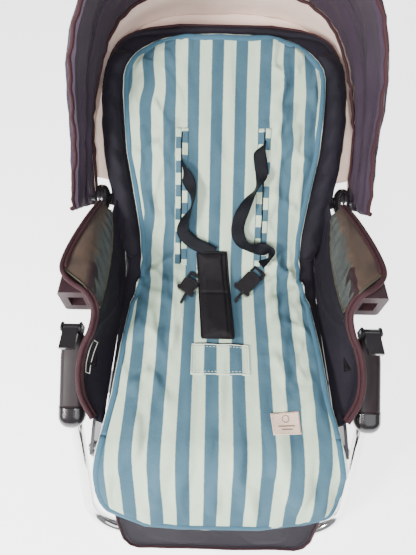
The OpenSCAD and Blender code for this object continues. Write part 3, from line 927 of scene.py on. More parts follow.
def liner():
    """The reversible striped liner, in two pieces that meet under the thighs."""
    join = s_seat(-0.104)
    rows = steps(LINER_TOP, LINER_TOP + 0.06, 0.002) + steps(LINER_TOP + 0.06, join, 0.004)[1:]
    fine = (0.0030, 0.0020, 0.0012, 0.0006, 0.0002)
    upper = liner_piece("liner_upper", rows[:-1] + [join - d for d in fine] + [join])
    lower = liner_piece("liner_lower",
                        [join] + [join + d for d in reversed(fine)] + steps(join, LINER_END, 0.004)[1:])
    put(upper, CREASE_BEND, ["liner_back", "liner_seat"])
    put(lower, KNEE_BEND, ["liner_leg"])
    area_of(liner_half, LINER_TOP, join)
    area_of(liner_half, join, LINER_END)
    return join


def area_of(half, a, b):
    """Flat area between two rows of a piece with that half width."""
    rows = steps(a, b, 0.002)
    return sum(2 * half((p + q) / 2) * (q - p) for p, q in zip(rows, rows[1:]))


def liner_edge(a, b, step=0.006):
    """The liner's right edge between two rows, as (x, s) pairs."""
    return [(liner_half(s), s) for s in steps(a, b, step)]


def edge_side(line):
    """Directions across the binding: in the surface, square to the edge."""
    pts = [fold(x, s, 0) for x, s in line]
    ups = [(fold(x, s, 0.01) - fold(x, s, 0)).normalized() for x, s in line]

    def side(i):
        ahead = pts[min(i + 1, len(pts) - 1)] - pts[max(i - 1, 0)]
        return ahead.cross(ups[i])
    return side


def inset_line(line, distance):
    """The line moved in towards the piece's middle, square to its own run, in flat coordinates."""
    out = []
    for i, (x, s) in enumerate(line):
        (xa, sa), (xb, sb) = line[max(i - 1, 0)], line[min(i + 1, len(line) - 1)]
        length = math.hypot(xb - xa, sb - sa) or 1.0
        across = ((sb - sa) / length, -(xb - xa) / length)
        towards = 1 if across[0] * (0 - x) + across[1] * ((LINER_TOP + LINER_END) / 2 - s) > 0 else -1
        out.append((x + across[0] * distance * towards, s + across[1] * distance * towards))
    return out


def liner_bindings(join):
    """Blue bias binding and a fine cream piping line all round the liner."""
    top_half = liner_half(LINER_TOP)
    right = liner_edge(LINER_TOP, LINER_TOP + 0.06, step=0.003) + liner_edge(LINER_TOP + 0.06, join)[1:]
    across = [(x, LINER_TOP) for x in steps(-top_half, top_half, 0.008)][1:-1]
    upper = [(-x, s) for x, s in reversed(right)] + across + right
    low = liner_edge(join, LINER_END)
    end_half = liner_half(LINER_END)
    lower = low + [(x, LINER_END + 0.0015) for x in steps(end_half, -end_half, 0.008)[1:-1]]
    lower += [(-x, s) for x, s in reversed(low)]
    for name, line, where in (("upper", upper, CREASE_BEND), ("lower", lower, KNEE_BEND)):
        height = lambda x, s: liner_lift(x, s) - 0.0010
        inside = inset_line(line, 0.0042)
        rim = tube("liner_binding_" + name, [fold(x, s, height(x, s) + 0.0006) for x, s in inside], 0.0048,
                   "binding", sides=10, flatten=0.42, side=edge_side(inside))
        cord_line = tube("liner_piping_" + name, [fold(x, s, height(x, s)) for x, s in line], 0.0013,
                         "piping", sides=6)
        for piece in (rim, cord_line):
            put(piece, where)


def slot_facings():
    """Ladder-striped facing strips each side of the harness slots."""
    for side, name in SIDES:
        for part, (x0, x1) in enumerate(((SLOT_X[0] - 0.0085, SLOT_X[0] + 0.0008),
                                         (SLOT_X[1] - 0.0008, SLOT_X[1] + 0.0080))):
            centre, half = (x0 + x1) / 2 * side, (x1 - x0) / 2
            rows = steps(s_up(SLOT_UP[1] + 0.006), s_up(SLOT_UP[0] - 0.006), 0.004)
            top = lambda x, s: liner_lift(x, s) + 0.0012
            strip = folded("slot_facing_%s_%d" % (name, part), rows, lambda s: half,
                           top, lambda x, s: top(x, s) - 0.0022, ["ladder_b" if part else "ladder"],
                           columns=6,
                           centre=centre)
            put(strip, CREASE_BEND)


def crotch_facing():
    """A stitched-on rectangle of the same striped cloth in front of the crotch strap's slot."""
    low, high, half = s_seat(-0.015), s_seat(0.036), 0.0465
    top = lambda x, s: liner_lift(x, s) + 0.0016 - rounded(min(half - abs(x), s - high, low - s), 0.0012)
    cloth = folded("crotch_facing", steps(high, low, 0.003), lambda s: half, top,
                   lambda x, s: top(x, s) - 0.0020, ["liner"], columns=40, warp=lambda x, s: 0.0035)
    put(cloth, "frame")
    for k, inset in enumerate((0.0016, 0.0055)):
        line = round_box(-half + inset, high + inset, half - inset, low - inset, 14)
        points = [fold(x, s, top(x, s) + 0.0004) for x, s in line]
        if k:
            piece = stitches("crotch_facing_stitch", points, "piping", radius=0.0006)
        else:
            piece = tube("crotch_facing_edge", points, 0.0009, "piping", closed=True, sides=6)
        put(piece, "frame")
    slot_line = [fold(x, high + 0.001, liner_lift(x, high) + 0.0019) for x in steps(-0.040, 0.036, 0.004)]
    put(tube("crotch_slot", slot_line, 0.0012, "label", sides=6), "frame")


# ---------------------------------------------------------------- label tag and woven patch

def liner_tag():
    """A plain beige tag sewn to the liner, with a generic ring and bars in place of any mark."""
    middle, place, turn = 0.0945, s_seat(-0.085), math.radians(4)

    def on_tag(a, b, out):
        """A point at a across and b up the tag, on the liner."""
        x = middle + a * math.cos(turn) - b * math.sin(turn)
        s = place - a * math.sin(turn) - b * math.cos(turn)
        return fold(x, s, liner_lift(x, s) + out)

    across, up = steps(-0.0205, 0.0205, 0.0025), steps(0.0155, -0.0155, 0.0025)
    tag = shell("liner_tag", [[on_tag(a, b, 0.0018) for a in across] for b in up],
                [[on_tag(a, b, 0.0003) for a in across] for b in up], ["tag"])
    pieces = [tag]
    ring = [on_tag(0.0048 * math.cos(a), 0.006 + 0.0048 * math.sin(a), 0.0020)
            for a in steps(0, 2 * math.pi, 0.4)[:-1]]
    pieces.append(tube("tag_ring", ring, 0.0006, "tag_print", closed=True, sides=6))
    for k, (down, width) in enumerate(((0.004, 0.024), (0.0085, 0.015))):
        bar = [on_tag(a, -down, 0.0020) for a in steps(-width / 2, width / 2, 0.002)]
        pieces.append(tube("tag_bar_%d" % k, bar, 0.0008, "tag_print", sides=6))
    outline = [on_tag(a, b, 0.0021) for a, b in round_box(-0.019, -0.014, 0.019, 0.014, 10)]
    pieces.append(stitches("tag_stitch", outline, "tag_print", radius=0.0003))
    for piece in pieces:
        put(piece, "frame")


# ---------------------------------------------------------------- harness

TWIST = {
    "left": (1.5, 1.2, 0.35, 1.1, 1.45, 0.7, 0.2, 0.0, 0.1, 0.1),
    "right": (1.5, 0.7, 0.25, 0.6, 1.45, 0.8, 0.2, 0.0, 0.5, 0.9, 0.3, 0.9, 1.4, 0.8),
}


def shoulder_straps():
    """Two loose shoulder straps, from the liner's slots down to the buckles, each twisting as it goes."""
    routes = {
        "left": [(-0.0715, 0.205, 0.004), (-0.068, 0.190, 0.0155), (-0.058, 0.168, 0.020),
                 (-0.050, 0.145, 0.023), (-0.053, 0.122, 0.024), (-0.064, 0.098, 0.0225),
                 (-0.066, 0.080, 0.021), (-0.050, 0.064, 0.0195), (-0.030, 0.054, 0.018),
                 (-0.012, 0.045, 0.0155)],
        "right": [(0.0700, 0.238, 0.004), (0.062, 0.222, 0.0165), (0.064, 0.200, 0.020),
                  (0.066, 0.178, 0.023), (0.058, 0.156, 0.024), (0.044, 0.134, 0.023),
                  (0.032, 0.108, 0.022), (0.028, 0.086, 0.022), (0.034, 0.067, 0.0225),
                  (0.050, 0.056, 0.023), (0.070, 0.054, 0.0235), (0.086, 0.050, 0.023),
                  (0.084, 0.036, 0.021), (0.070, 0.022, 0.019)],
    }
    for name, route in routes.items():
        points, wides = [], []
        for x, up, out in route:
            s = s_up(up)
            points.append(fold(x, s, out))
            wides.append((fold(x, s, 0.01) - fold(x, s, 0)).normalized())
        for i in range(len(route)):
            ahead = (points[min(i + 1, len(points) - 1)] - points[max(i - 1, 0)]).normalized()
            flat = ahead.cross(wides[i]).normalized()
            wides[i] = Matrix.Rotation(TWIST[name][i], 3, ahead) @ flat
        strap = ribbon("harness_strap_" + name, points, wides, 0.0225, 0.0017, "webbing")
        line = catmull(points, 10)
        polyline(line)
        put(strap, CREASE_BEND, ["shoulder_strap_" + name])


def crotch_pad():
    """The quilted crotch pad, from its slot in the liner up to the crease, with piping and cross seams."""
    s_top, s_low = s_up(0.047), s_seat(0.044)
    centre = lambda s: along([(s_top, -0.016), (s_low, -0.004)], s)
    rows = steps(s_top, s_low, 0.003)

    def top(x, s):
        u = (x - centre(s)) / 0.026
        near = min(0.026 * (1 - abs(u)), s - s_top, s_low - s + 0.004)
        middle = s_top + (s_low - s_top) * 0.52
        quilt = seam(abs(s - middle), 0.0022, 0.0022)
        quilt += seam(abs(u * 0.026 - 0.0185), 0.0018, 0.0016)
        crown = 0.0195 + 0.0035 * smooth(near / 0.012) - rounded(near, 0.003)
        return crown + quilt + 0.0008 * ripple(x * 60, s * 45, 2)

    pad = folded("crotch_cover", rows, lambda s: 0.026, top, lambda x, s: 0.0145, ["crotch"], columns=26,
                 centre=centre)
    plump(pad, 0.0012)
    ends = [fold(centre(s) + 0.026, s, 0.0165) for s in rows] + [fold(centre(s) - 0.026, s, 0.0165)
                                                                for s in reversed(rows)]
    rim = tube("crotch_piping", ends, 0.0016, "crotch", closed=True, sides=6)
    thread = stitches("crotch_stitch", [fold(centre(s) + 0.0185, s, top(centre(s) + 0.0185, s) + 0.0003)
                                        for s in rows[2:-2]], "label", radius=0.0004)
    for piece in (pad, rim, thread):
        put(piece, CREASE_BEND,
                     ["crotch_pad"] if piece is pad else ())


SIDEWAYS = Matrix(((0, 0, 1), (1, 0, 0), (0, 1, 0))).to_4x4()


def slab_plate(outline, thickness, place):
    """Vertices and faces of a flat plate with that outline, in place."""
    count = len(outline)
    verts = [place @ Vector((x, y, z)) for z in (0, thickness) for x, y in outline]
    faces = [tuple(range(count))[::-1], tuple(range(count, 2 * count))]
    faces += [(i, (i + 1) % count, count + (i + 1) % count, count + i) for i in range(count)]
    return verts, faces


def merged(name, parts, material, bevel):
    """One object from several plates, with its edges bevelled."""
    verts, faces = [], []
    for v, f in parts:
        faces += [tuple(i + len(verts) for i in face) for face in f]
        verts += v
    obj = outward(make(name, verts, faces, [material], flat_shaded=True))
    return bevelled(obj, bevel, 3, 35)


def oblong(cx, cy, w, h, cut=0.3):
    c = min(w, h) * cut
    a, b = w / 2, h / 2
    return [(cx - a + c, cy - b), (cx + a - c, cy - b), (cx + a, cy - b + c), (cx + a, cy + b - c),
            (cx + a - c, cy + b), (cx - a + c, cy + b), (cx - a, cy + b - c), (cx - a, cy - b + c)]


def buckles():
    """The loose halves of the harness buckle: a body with shoulders, prongs, and a bar for the strap."""
    for name, x, s, angle, body in (("left", -0.0545, s_seat(0.143), 148, 0.026),
                                    ("right", 0.0485, s_seat(0.152), 138, 0.040)):
        up = (fold(x, s, 0.01) - fold(x, s, 0)).normalized()
        ahead = (fold(x, s - 0.005, 0) - fold(x, s + 0.005, 0)).normalized()
        axes = Matrix((ahead.cross(up), ahead, up)).transposed().to_4x4()
        place = Matrix.Translation(fold(x, s, 0.0125)) @ axes @ Matrix.Rotation(math.radians(angle), 4, "Z")
        lift = Matrix.Translation((0, 0, 0.0022))
        parts = [slab_plate(oblong(0, 0, 0.0270, body, 0.2), 0.0095, place),
                 slab_plate(oblong(0, body * 0.10, 0.0190, body * 0.62, 0.3), 0.0090, place @ lift),
                 slab_plate(oblong(0, body / 2 - 0.003, 0.0330, 0.0080), 0.0080, place),
                 slab_plate(oblong(0, -body / 2 - 0.0110, 0.0260, 0.0042), 0.0056, place)]
        for edge in (-1, 1):
            parts.append(slab_plate(oblong(edge * 0.0112, -body / 2 - 0.0055, 0.0040, 0.0140), 0.0060, place))
        prong = Matrix.Translation((-0.0050, body / 2 + 0.0105, 0.0020)) @ Matrix.Rotation(0.12, 4, "Z")
        parts.append(slab_plate(oblong(0, 0, 0.0046, 0.0230, 0.45), 0.0045, place @ prong))
        put(merged("buckle_%s_shell" % name, parts, "gloss", 0.0012), "frame", ["buckle_" + name])


# ---------------------------------------------------------------- hood

HOOD_REAR, HOOD_FACING, HOOD_MID, HOOD_FRONT, HOOD_RIM = -12, 0, 16, 32, 36
SKIRT_R = 0.115
SKIRT_MID = math.radians(12)
HEM = -0.012


def arch(count=72):
    """Even places along the hood's arch, right hem to left hem, as (x share, r share) of a superellipse."""
    fine = []
    for k in range(2401):
        a = math.pi * k / 2400
        x = power(math.cos(a), (2 / HOOD_SQUARE))
        fine.append((x, abs(math.sin(a)) ** (2 / HOOD_SQUARE)))
    lengths = [0.0]
    for (xa, ra), (xb, rb) in zip(fine, fine[1:]):
        lengths.append(lengths[-1] + math.hypot((xb - xa) * HOOD_HW, (rb - ra) * HOOD_TOP))
    places = np.interp(np.linspace(0, lengths[-1], count + 1), lengths, range(len(fine)))
    return [fine[int(round(p))] for p in places]


ARCH = arch()
SKIRT = [1.0, 0.75, 0.5, 0.25]


def hood_size(turn):
    """Half width and height of the hood's arch at an angle forward of the back's slope, in degrees."""
    t = smooth((turn - 10) / 20)
    return HOOD_HW + 0.001 - 0.005 * (1 - t), HOOD_TOP + 0.001 - 0.005 * (1 - t)


def hood_place(x_share, r_share, turn, inward=0.0):
    """A point of the hood's cloth, which near the hub hangs as a straight skirt."""
    hw, top = hood_size(turn)
    a = math.radians(turn)
    slack = min(abs(turn - HOOD_MID), abs(turn - HOOD_FRONT)) / 8
    hw -= 0.0065 * math.sin(math.pi * min(1.0, max(0.0, r_share))) * smooth(slack) * smooth(turn / 12)
    x = x_share * (hw - inward * min(1.0, abs(x_share) ** 4 * 1.6))
    if x < 0:
        x -= 0.005 * smooth((0.30 - r_share) / 0.28) * smooth(turn / 12)
    r = r_share * (top - inward) if r_share > 0 else r_share
    if r >= SKIRT_R:
        return hood(x, r, a)
    ahead = SKIRT_R * math.cos(a - SKIRT_MID) - (SKIRT_R - r)
    across = SKIRT_R * math.sin(a - SKIRT_MID)
    beside = hood(0, across, SKIRT_MID + math.pi / 2) - PIVOT
    return hood(x, 0, 0) + (hood(0, ahead, SKIRT_MID) - PIVOT) + beside


def hood_row(turn, relief, inward=0.0):
    """One row of the hood's cloth at an angle, hem to hem; relief(k, turn) moves it inwards."""
    low = SKIRT_R * (1 - math.cos(math.radians(turn) - SKIRT_MID)) + HEM
    row = []
    for side in (1, -1):
        hem = [hood_place(side * (1 + 0.015 * w), low * w, turn, inward + relief(-w * 6 if side > 0 else
                                                                               len(ARCH) + w * 6, turn))
               for w in SKIRT]
        row.append(hem if side > 0 else hem[::-1])
    middle = [hood_place(x, r, turn, inward + relief(k, turn)) for k, (x, r) in enumerate(ARCH)]
    return row[0] + middle + row[1]


def hood_relief(k, turn):
    """How far the hood's outside sinks in: slack between the bows, and soft wrinkles."""
    between = min(abs(turn - HOOD_MID), abs(turn - HOOD_FRONT))
    sag = 0.0045 * smooth(between / 8)
    gather = 0.0017 * math.sin(k * 2.1 + 1.3 * math.sin(turn * 0.35)) * smooth(between / 5)
    return sag + gather + 0.0040 * ripple(k * 0.22, turn * 0.16, 8)


def facing_relief(k, turn):
    """How far the hood's inside stands in: a padded roll along the rim, a seam, and a softer panel behind."""
    roll = 0.0085 * math.sqrt(max(0.0, 1 - ((turn - 29.5) / 7.5) ** 2))
    panel = 0.0045 * math.sqrt(max(0.0, 1 - ((turn - 12.0) / 10.5) ** 2))
    crease = -0.0016 * math.exp(-(((k * 0.27) % 3.1 - 1.5 - 0.02 * turn) / 0.09) ** 2) * (turn > 20)
    pucker = 0.0011 * math.sin(k * 2.6) * math.exp(-((turn - 1.5) / 3.5) ** 2)
    fold_line = 0.0022 * math.sin(turn * 0.62 + 0.9 * math.sin(k * 0.10))
    fold_line *= smooth((21 - turn) / 6) * (turn > 0)
    slack = 0.0016 * ripple(k * 0.12, turn * 0.2, 31)
    return hood_relief(k, turn) * 0.4 + 0.0058 + roll + panel + crease + pucker + fold_line + slack


def hood_cloth(name, a, b):
    """A span of the hood's cloth between two angles, lined in cream behind the facing's edge."""
    turns = steps(a, b, 1.0)
    outer = [hood_row(t, hood_relief) for t in turns]
    inner = [hood_row(t, facing_relief) for t in turns]
    cloth = shell(name, outer, inner, ["hood", "lining"], rear_index=lambda i, j: int(turns[i] < HOOD_FACING))
    declare_sheet(outer)
    return cloth


def hood_plane(reach):
    """The end of a blend that starts in the middle bow's plane, so many degrees ahead of it."""
    turn = math.radians(HOOD_MID + (90 if reach > 0 else -90))
    return MID_PLANE + hood(0, 0.3 * math.sin(math.radians(abs(reach))), turn) - PIVOT


MID_PLANE = hood(0, 0.3, math.radians(HOOD_MID))
REAR_BEND = ("backrest", "hood_mid", hood_plane(-18), MID_PLANE)
FRONT_BEND = ("hood_mid", "hood_front", MID_PLANE, hood_plane(15))


def hood_panels():
    """The hood's cloth in two spans, one each side of the middle bow."""
    rear = hood_cloth("hood_cloth_rear", HOOD_REAR, HOOD_MID)
    front = hood_cloth("hood_cloth_front", HOOD_MID, HOOD_RIM)
    put(rear, REAR_BEND, ["canopy_rear", "canopy_mid"])
    put(front, FRONT_BEND, ["canopy_front"])


def hood_curtain():
    """The hood's rear end, from its last row in to the back board, lined in cream."""
    outer_row = hood_row(HOOD_REAR, hood_relief, 0.001)
    skip = len(SKIRT) + 3
    outer_row = outer_row[skip:-skip]
    front, rear = [], []
    for t in steps(0, 1, 0.09):
        line, under = [], []
        for k, p in enumerate(outer_row):
            away = p - PIVOT
            inner = PIVOT + away * 0.845
            inner.x = p.x * 0.855
            q = p.lerp(inner, t)
            gather = 0.0022 * math.sin(k * 1.7) * math.sin(math.pi * t)
            behind = back(0, 0, 0) - back(0, 0, 1)
            line.append(q + behind * (0.006 * math.sin(math.pi * t) + gather))
            under.append(q + behind * (0.006 * math.sin(math.pi * t) + gather - 0.003))
        front.append(line)
        rear.append(under)
    curtain = shell("hood_curtain", front, rear, ["hood", "lining"], rear_index=lambda i, j: 1)
    declare_sheet(front)
    put(curtain, "backrest")


def hood_sleeves():
    """Padded channels that carry the two bows, gathered on the bow."""
    for name, turn, body in (("mid", HOOD_MID, "hood_mid"), ("front", HOOD_FRONT, "hood_front")):
        row = hood_row(turn, lambda k, t: 0.004)
        row = row[len(SKIRT):-len(SKIRT)]
        radius = lambda i: 0.0060 + 0.0007 * math.sin(i * 1.9) + 0.0006 * math.sin(i * 0.7)
        sleeve = tube("bow_sleeve_" + name, row, radius, "hood", sides=12)
        put(sleeve, body)


def hood_bindings():
    """Maroon binding along the hood's front rim, its facing's inner edge and its hems."""
    rim = tube("hood_rim_binding", hood_row(HOOD_RIM, hood_relief, 0.002), 0.0032, "maroon", sides=10,
               flatten=0.8)
    put(rim, FRONT_BEND)
    facing = tube("hood_facing_binding", hood_row(0.3, facing_relief, 0.0036), 0.0026, "maroon", sides=8)
    put(facing, REAR_BEND)
    for name, end in (("right", 0), ("left", -1)):
        for part, a, b, where in (("rear", HOOD_REAR, HOOD_MID, REAR_BEND),
                                  ("front", HOOD_MID, HOOD_RIM, FRONT_BEND)):
            hem = [hood_row(t, hood_relief, 0.002)[end] for t in steps(a, b, 2)]
            put(tube("hood_hem_%s_%s" % (part, name), hem, 0.0036, "maroon", sides=8), where)


# ---------------------------------------------------------------- side wings, mesh and armrests

def at_edge(points, t):
    """A point along a polyline by its share of the length."""
    pts = [Vector(p) for p in points]
    spans = [(b - a).length for a, b in zip(pts, pts[1:])]
    left = t * sum(spans)
    for a, b, span in zip(pts, pts[1:], spans):
        if left <= span:
            return a.lerp(b, left / span)
        left -= span
    return pts[-1]


WING_TOP = [(0.181, 0.262, 0.168), (0.187, 0.238, 0.153), (0.1845, 0.180, 0.131), (0.184, 0.121, 0.127),
            (0.1835, 0.061, 0.141),
            (0.187, 0.046, 0.151), (0.192, 0.026, 0.138), (0.202, 0.010, 0.124), (0.208, -0.008, 0.110),
            (0.209, -0.032, 0.097), (0.204, -0.056, 0.080), (0.188, -0.079, 0.062)]
WING_LOW = [(0.168, 0.250, 0.110), (0.173, 0.215, 0.082), (0.173, 0.170, 0.056), (0.171, 0.100, 0.046),
            (0.171, 0.020, 0.046),
            (0.171, -0.040, 0.046), (0.171, -0.084, 0.046)]
NET = [[(0.189, 0.242, 0.155), (0.191, 0.243, 0.160), (0.197, 0.247, 0.165), (0.204, 0.256, 0.167)],
       [(0.186, 0.215, 0.144), (0.189, 0.216, 0.158), (0.198, 0.218, 0.175), (0.211, 0.222, 0.180)],
       [(0.1845, 0.180, 0.131), (0.1885, 0.181, 0.158), (0.1985, 0.184, 0.184), (0.218, 0.188, 0.187)],
       [(0.184, 0.140, 0.128), (0.1875, 0.140, 0.160), (0.197, 0.142, 0.1885), (0.228, 0.148, 0.190)],
       [(0.184, 0.100, 0.131), (0.1875, 0.101, 0.163), (0.196, 0.104, 0.1915), (0.2325, 0.118, 0.1915)],
       [(0.1835, 0.063, 0.141), (0.187, 0.064, 0.166), (0.1950, 0.070, 0.1915), (0.231, 0.099, 0.1925)]]
RIM = [(0.205, 0.262, 0.167), (0.212, 0.222, 0.181), (0.2195, 0.188, 0.188), (0.229, 0.148, 0.191),
       (0.2335, 0.118, 0.1925), (0.2325, 0.098, 0.1935), (0.224, 0.083, 0.1935), (0.210, 0.0715, 0.193),
       (0.1965, 0.064, 0.190), (0.188, 0.056, 0.174), (0.187, 0.046, 0.155), (0.192, 0.026, 0.140),
       (0.202, 0.010, 0.126), (0.208, -0.008, 0.112), (0.209, -0.032, 0.099), (0.204, -0.056, 0.082),
       (0.188, -0.080, 0.064)]


def wing_bend(side):
    return "frame", "backrest", (side * 0.2, 0.168, 0.15), (side * 0.2, 0.240, 0.15)


def mirrored(p, side):
    return Vector((p[0] * side, p[1], p[2]))


def wing_point(t, v, side, off=0.0):
    """A point of a wing's inner face: t runs from the back to the front, v from the seat to the edge."""
    p = at_edge(WING_LOW, t).lerp(at_edge(WING_TOP, t), v)
    middle = math.sin(math.pi * v)
    p.x += 0.009 * middle * smooth(min(t, 1 - t) * 5) * smooth((t - 0.35) / 0.3)
    soft = 0.0030 * ripple(t * 5, v * 3, 5 + side) + 0.0016 * math.sin(v * 9 + 7 * t) * smooth(t * 3)
    crease = 0.0030 * math.exp(-((v - 0.55 - 1.6 * (t - 0.52)) / 0.05) ** 2)
    return mirrored((p.x - (soft + crease) * middle - off, p.y, p.z + off * 0.5), side)


def side_wings():
    """Dark padded wings between the seat and the side covers."""
    for side, name in SIDES:
        stations = [(i / 72, [j / 18 for j in range(19)]) for i in range(73)]
        front = [[wing_point(t, v, side) for v in row] for t, row in stations]
        rear = [[wing_point(t, v, side, -0.0035) for v in row] for t, row in stations]
        wing = shell("wing_cloth_" + name, front, rear, ["navy"])
        plump(wing, 0.0025)
        where = ("frame", "backrest", (side * 0.18, 0.168, 0.11), (side * 0.18, 0.225, 0.12))
        put(wing, where, ["side_wing_" + name])


def rims():
    """The double maroon binding that runs over the armrest, round the socket and down the wing."""
    line = catmull(RIM, 6)
    for side, name in SIDES:
        inner = []
        for i, p in enumerate(line):
            ahead = (line[min(i + 1, len(line) - 1)] - line[max(i - 1, 0)]).normalized()
            away = Vector((-1.0, 0.25, 0.1)) if i < 30 else Vector((-1.0, 0.2, -0.9))
            away = (away - ahead * away.dot(ahead)).normalized()
            inner.append(p + away * 0.0062)
        for part, points, radius in (("outer", line, 0.0040), ("inner", inner, 0.0026)):
            rim = tube("wing_rim_%s_%s" % (part, name), [mirrored(p, side) for p in points], radius, "maroon",
                       sides=10)
            put(rim, wing_bend(side))


def mesh_windows():
    """Net windows that rise from the wings over the armrests: gathered inside, taut on top."""
    columns = [catmull([row[k] for row in NET], 12) for k in range(4)]
    for side, name in SIDES:
        front, rear, flats = [], [], []
        count = len(columns[0])
        for i in range(count):
            profile = catmull([column[i] for column in columns], 8)
            line, under, flat = [], [], []
            for j, p in enumerate(profile):
                v = j / (len(profile) - 1)
                pull = math.sin(math.pi * min(1.0, v * 1.5)) if v < 0.66 else 0.0
                gather = 0.0022 * math.sin(i * 0.95 + v * 9 + 1.5 * ripple(i * 0.2, v * 3, 6 + side)) * pull
                gather += 0.0012 * ripple(i * 0.35, v * 6, 3 + side)
                line.append(mirrored((p.x - gather, p.y, p.z), side))
                under.append(mirrored((p.x - gather + 0.0008, p.y, p.z - 0.0007), side))
                flat.append((i / (count - 1) * 0.19, v * 0.085))
            front.append(line)
            rear.append(under)
            flats.append(flat)
        net = shell("mesh_net_" + name, front, rear, ["mesh"], flats)
        declare_sheet(front)
        inner = tube("mesh_seam_" + name, [row[0] for row in front], 0.0016, "mesh_edge", sides=8)
        end = tube("mesh_end_" + name, front[-1], 0.0016, "mesh_edge", sides=8)
        for piece in (net, inner, end):
            put(piece, wing_bend(side),
                         ["side_mesh_" + name] if piece is net else ())


COVER_PARTS = (("body", 0.0, 0.78, 0.0, "cover"), ("cap", 0.775, 1.0, 0.0009, "gloss"))


def side_covers():
    """Long rounded covers outside the wings, with a gloss cap at the lower end and a raised rib."""
    lo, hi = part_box("side_cover_right")
    reach = 0.017
    low = Vector((hi.x - 0.020, lo.y + reach, lo.z + reach))
    top = low + Vector((0, 0.100, 0.062))
    ahead = (low - top).normalized()
    up = Vector((1, 0, 0)).cross(ahead).normalized()
    length = (low - top).length + 2 * reach
    for side, name in SIDES:
        for part, a, b, grow, material in COVER_PARTS:
            verts, rings, ring = [], 26, 36
            for i in range(rings + 1):
                u = a + (b - a) * i / rings
                size = max(0.05, round_end(u / 0.16) * round_end((1 - u) / 0.13))
                wide = (0.0160 + 0.0031 * smooth(u / 0.30)) * size + grow
                tall = (0.0130 + 0.0031 * smooth(u / 0.35)) * size + grow
                centre = top + ahead * (u * length - reach)
                for k in range(ring):
                    t = 2 * math.pi * k / ring
                    cx = power(math.cos(t), 0.72)
                    cz = power(math.sin(t), 0.72)
                    rib = 0.0007 * math.exp(-((t - 1.1) / 0.10) ** 2) * (part == "body") * size
                    p = centre + Vector((cx * (wide + rib), 0, 0)) - up * cz * (tall + rib)
                    verts.append(mirrored(p, side))
            piece = ringed("side_cover_%s_%s" % (part, name), verts, ring, material)
            put(piece, "frame", ["side_cover_" + name] if part == "body" else ())
        outline = [(-0.013, -0.013), (0.013, -0.013), (0.013, 0.013), (-0.013, 0.013)]
        inner = 0.192 if side > 0 else -0.217
        tab = slab_plate(outline, 0.025, Matrix.Translation((inner, 0.007, 0.071)) @ SIDEWAYS)
        put(merged("cover_tab_" + name, [tab], "matt", 0.0012), "frame")
        hinge_pieces(name)


def hinge_pieces(name):
    """The two small ears and the pin that carry the release lever on the cover."""
    lo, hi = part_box("release_lever_" + name)
    middle = (lo.x + hi.x) / 2
    pivot = Vector(JOINTS["release_" + name]["pos_m"])
    parts = []
    for ear in (-0.0138, 0.0138):
        outline = [(-0.007, -0.016), (0.007, -0.016), (0.007, 0.003), (0.004, 0.006), (-0.004, 0.006),
                   (-0.007, 0.003)]
        parts.append(slab_plate(outline, 0.0032,
                                Matrix.Translation((middle + ear - 0.0016, pivot.y, pivot.z)) @ SIDEWAYS))
    put(merged("lever_ears_" + name, parts, "matt", 0.0007), "frame")
    ends = [Vector((middle + x, pivot.y, pivot.z)) for x in (-0.0165, 0.0, 0.0165)]
    put(tube("lever_pin_" + name, ends, 0.0024, "steel", sides=16), "frame")


def hub_shells():
    """Round gloss knobs at the hood's pivots: two domed halves with a ribbed groove between them."""
    for side, name in SIDES:
        lo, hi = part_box("hood_hub_" + name)
        centre = Vector(((lo.x + hi.x) / 2, PIVOT.y, PIVOT.z))
        half, radius = (hi.x - lo.x) / 2, (hi.z - lo.z) / 2
        profile = [(-1, 0), (-0.98, 0.40), (-0.89, 0.66), (-0.67, 0.86), (-0.39, 0.965), (-0.17, 0.985),
                   (-0.13, 0.92), (0.02, 0.915), (0.06, 0.985), (0.36, 0.965), (0.66, 0.86), (0.88, 0.66),
                   (0.98, 0.40), (1, 0)]
        verts, ring = [], 72
        for across, out in profile:
            for k in range(ring):
                t = 2 * math.pi * k / ring
                rib = 0.0004 * (1 if k % 2 else -1) * (0.1 < across < 0.8)
                verts.append(centre + Vector((side * across * half, (out * radius + rib) * math.cos(t),
                                              (out * radius + rib) * math.sin(t))))
        knob = ringed("hub_shell_" + name, verts, ring, "gloss", capped=False)
        put(knob, "backrest", ["hood_hub_" + name])


def armrests():
    """Short padded rests behind the bar sockets, squared off in section."""
    for side, name in SIDES:
        lo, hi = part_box("armrest_" + name)
        middle, half = (lo + hi) / 2, (hi - lo) / 2
        verts, rings, ring = [], 20, 28
        for i in range(rings + 1):
            v = -1 + 2 * i / rings
            end = max(0.12, (1 - abs(v) ** 5) ** 0.4)
            for k in range(ring):
                a = 2 * math.pi * k / ring
                cx = power(math.cos(a), 0.55)
                cz = power(math.sin(a), 0.55)
                swell = 1 + 0.03 * ripple(v * 3, a, side * 2)
                verts.append(middle + Vector((cx * half.x * end * swell, v * half.y,
                                              cz * half.z * end * swell)))
        pad = ringed("armrest_pad_" + name, verts, ring, "navy")
        plump(pad, 0.0015)
        put(pad, "frame", ["armrest_" + name])


def wing_patch():
    """A blank woven patch with a pale outline on the left wing, in place of a name."""
    t0, t1, v0, v1 = 0.655, 0.815, 0.50, 0.76
    ts, vs = steps(t0, t1, (t1 - t0) / 16), steps(v0, v1, (v1 - v0) / 6)
    front = [[wing_point(t, v, -1, 0.0016) for v in vs] for t in ts]
    rear = [[wing_point(t, v, -1, 0.0002) for v in vs] for t in ts]
    label = shell("wing_patch", front, rear, ["label"])
    put(label, "frame")
    edge = [(t, v0 + 0.045) for t in ts[1:-1]] + [(t1 - 0.012, v) for v in vs[1:-1]]
    edge += [(t, v1 - 0.045) for t in reversed(ts[1:-1])] + [(t0 + 0.012, v) for v in reversed(vs[1:-1])]
    outline = [wing_point(t, v, -1, 0.0020) for t, v in edge]
    put(tube("wing_patch_outline", outline, 0.00055, "thread", closed=True, sides=6), "frame")


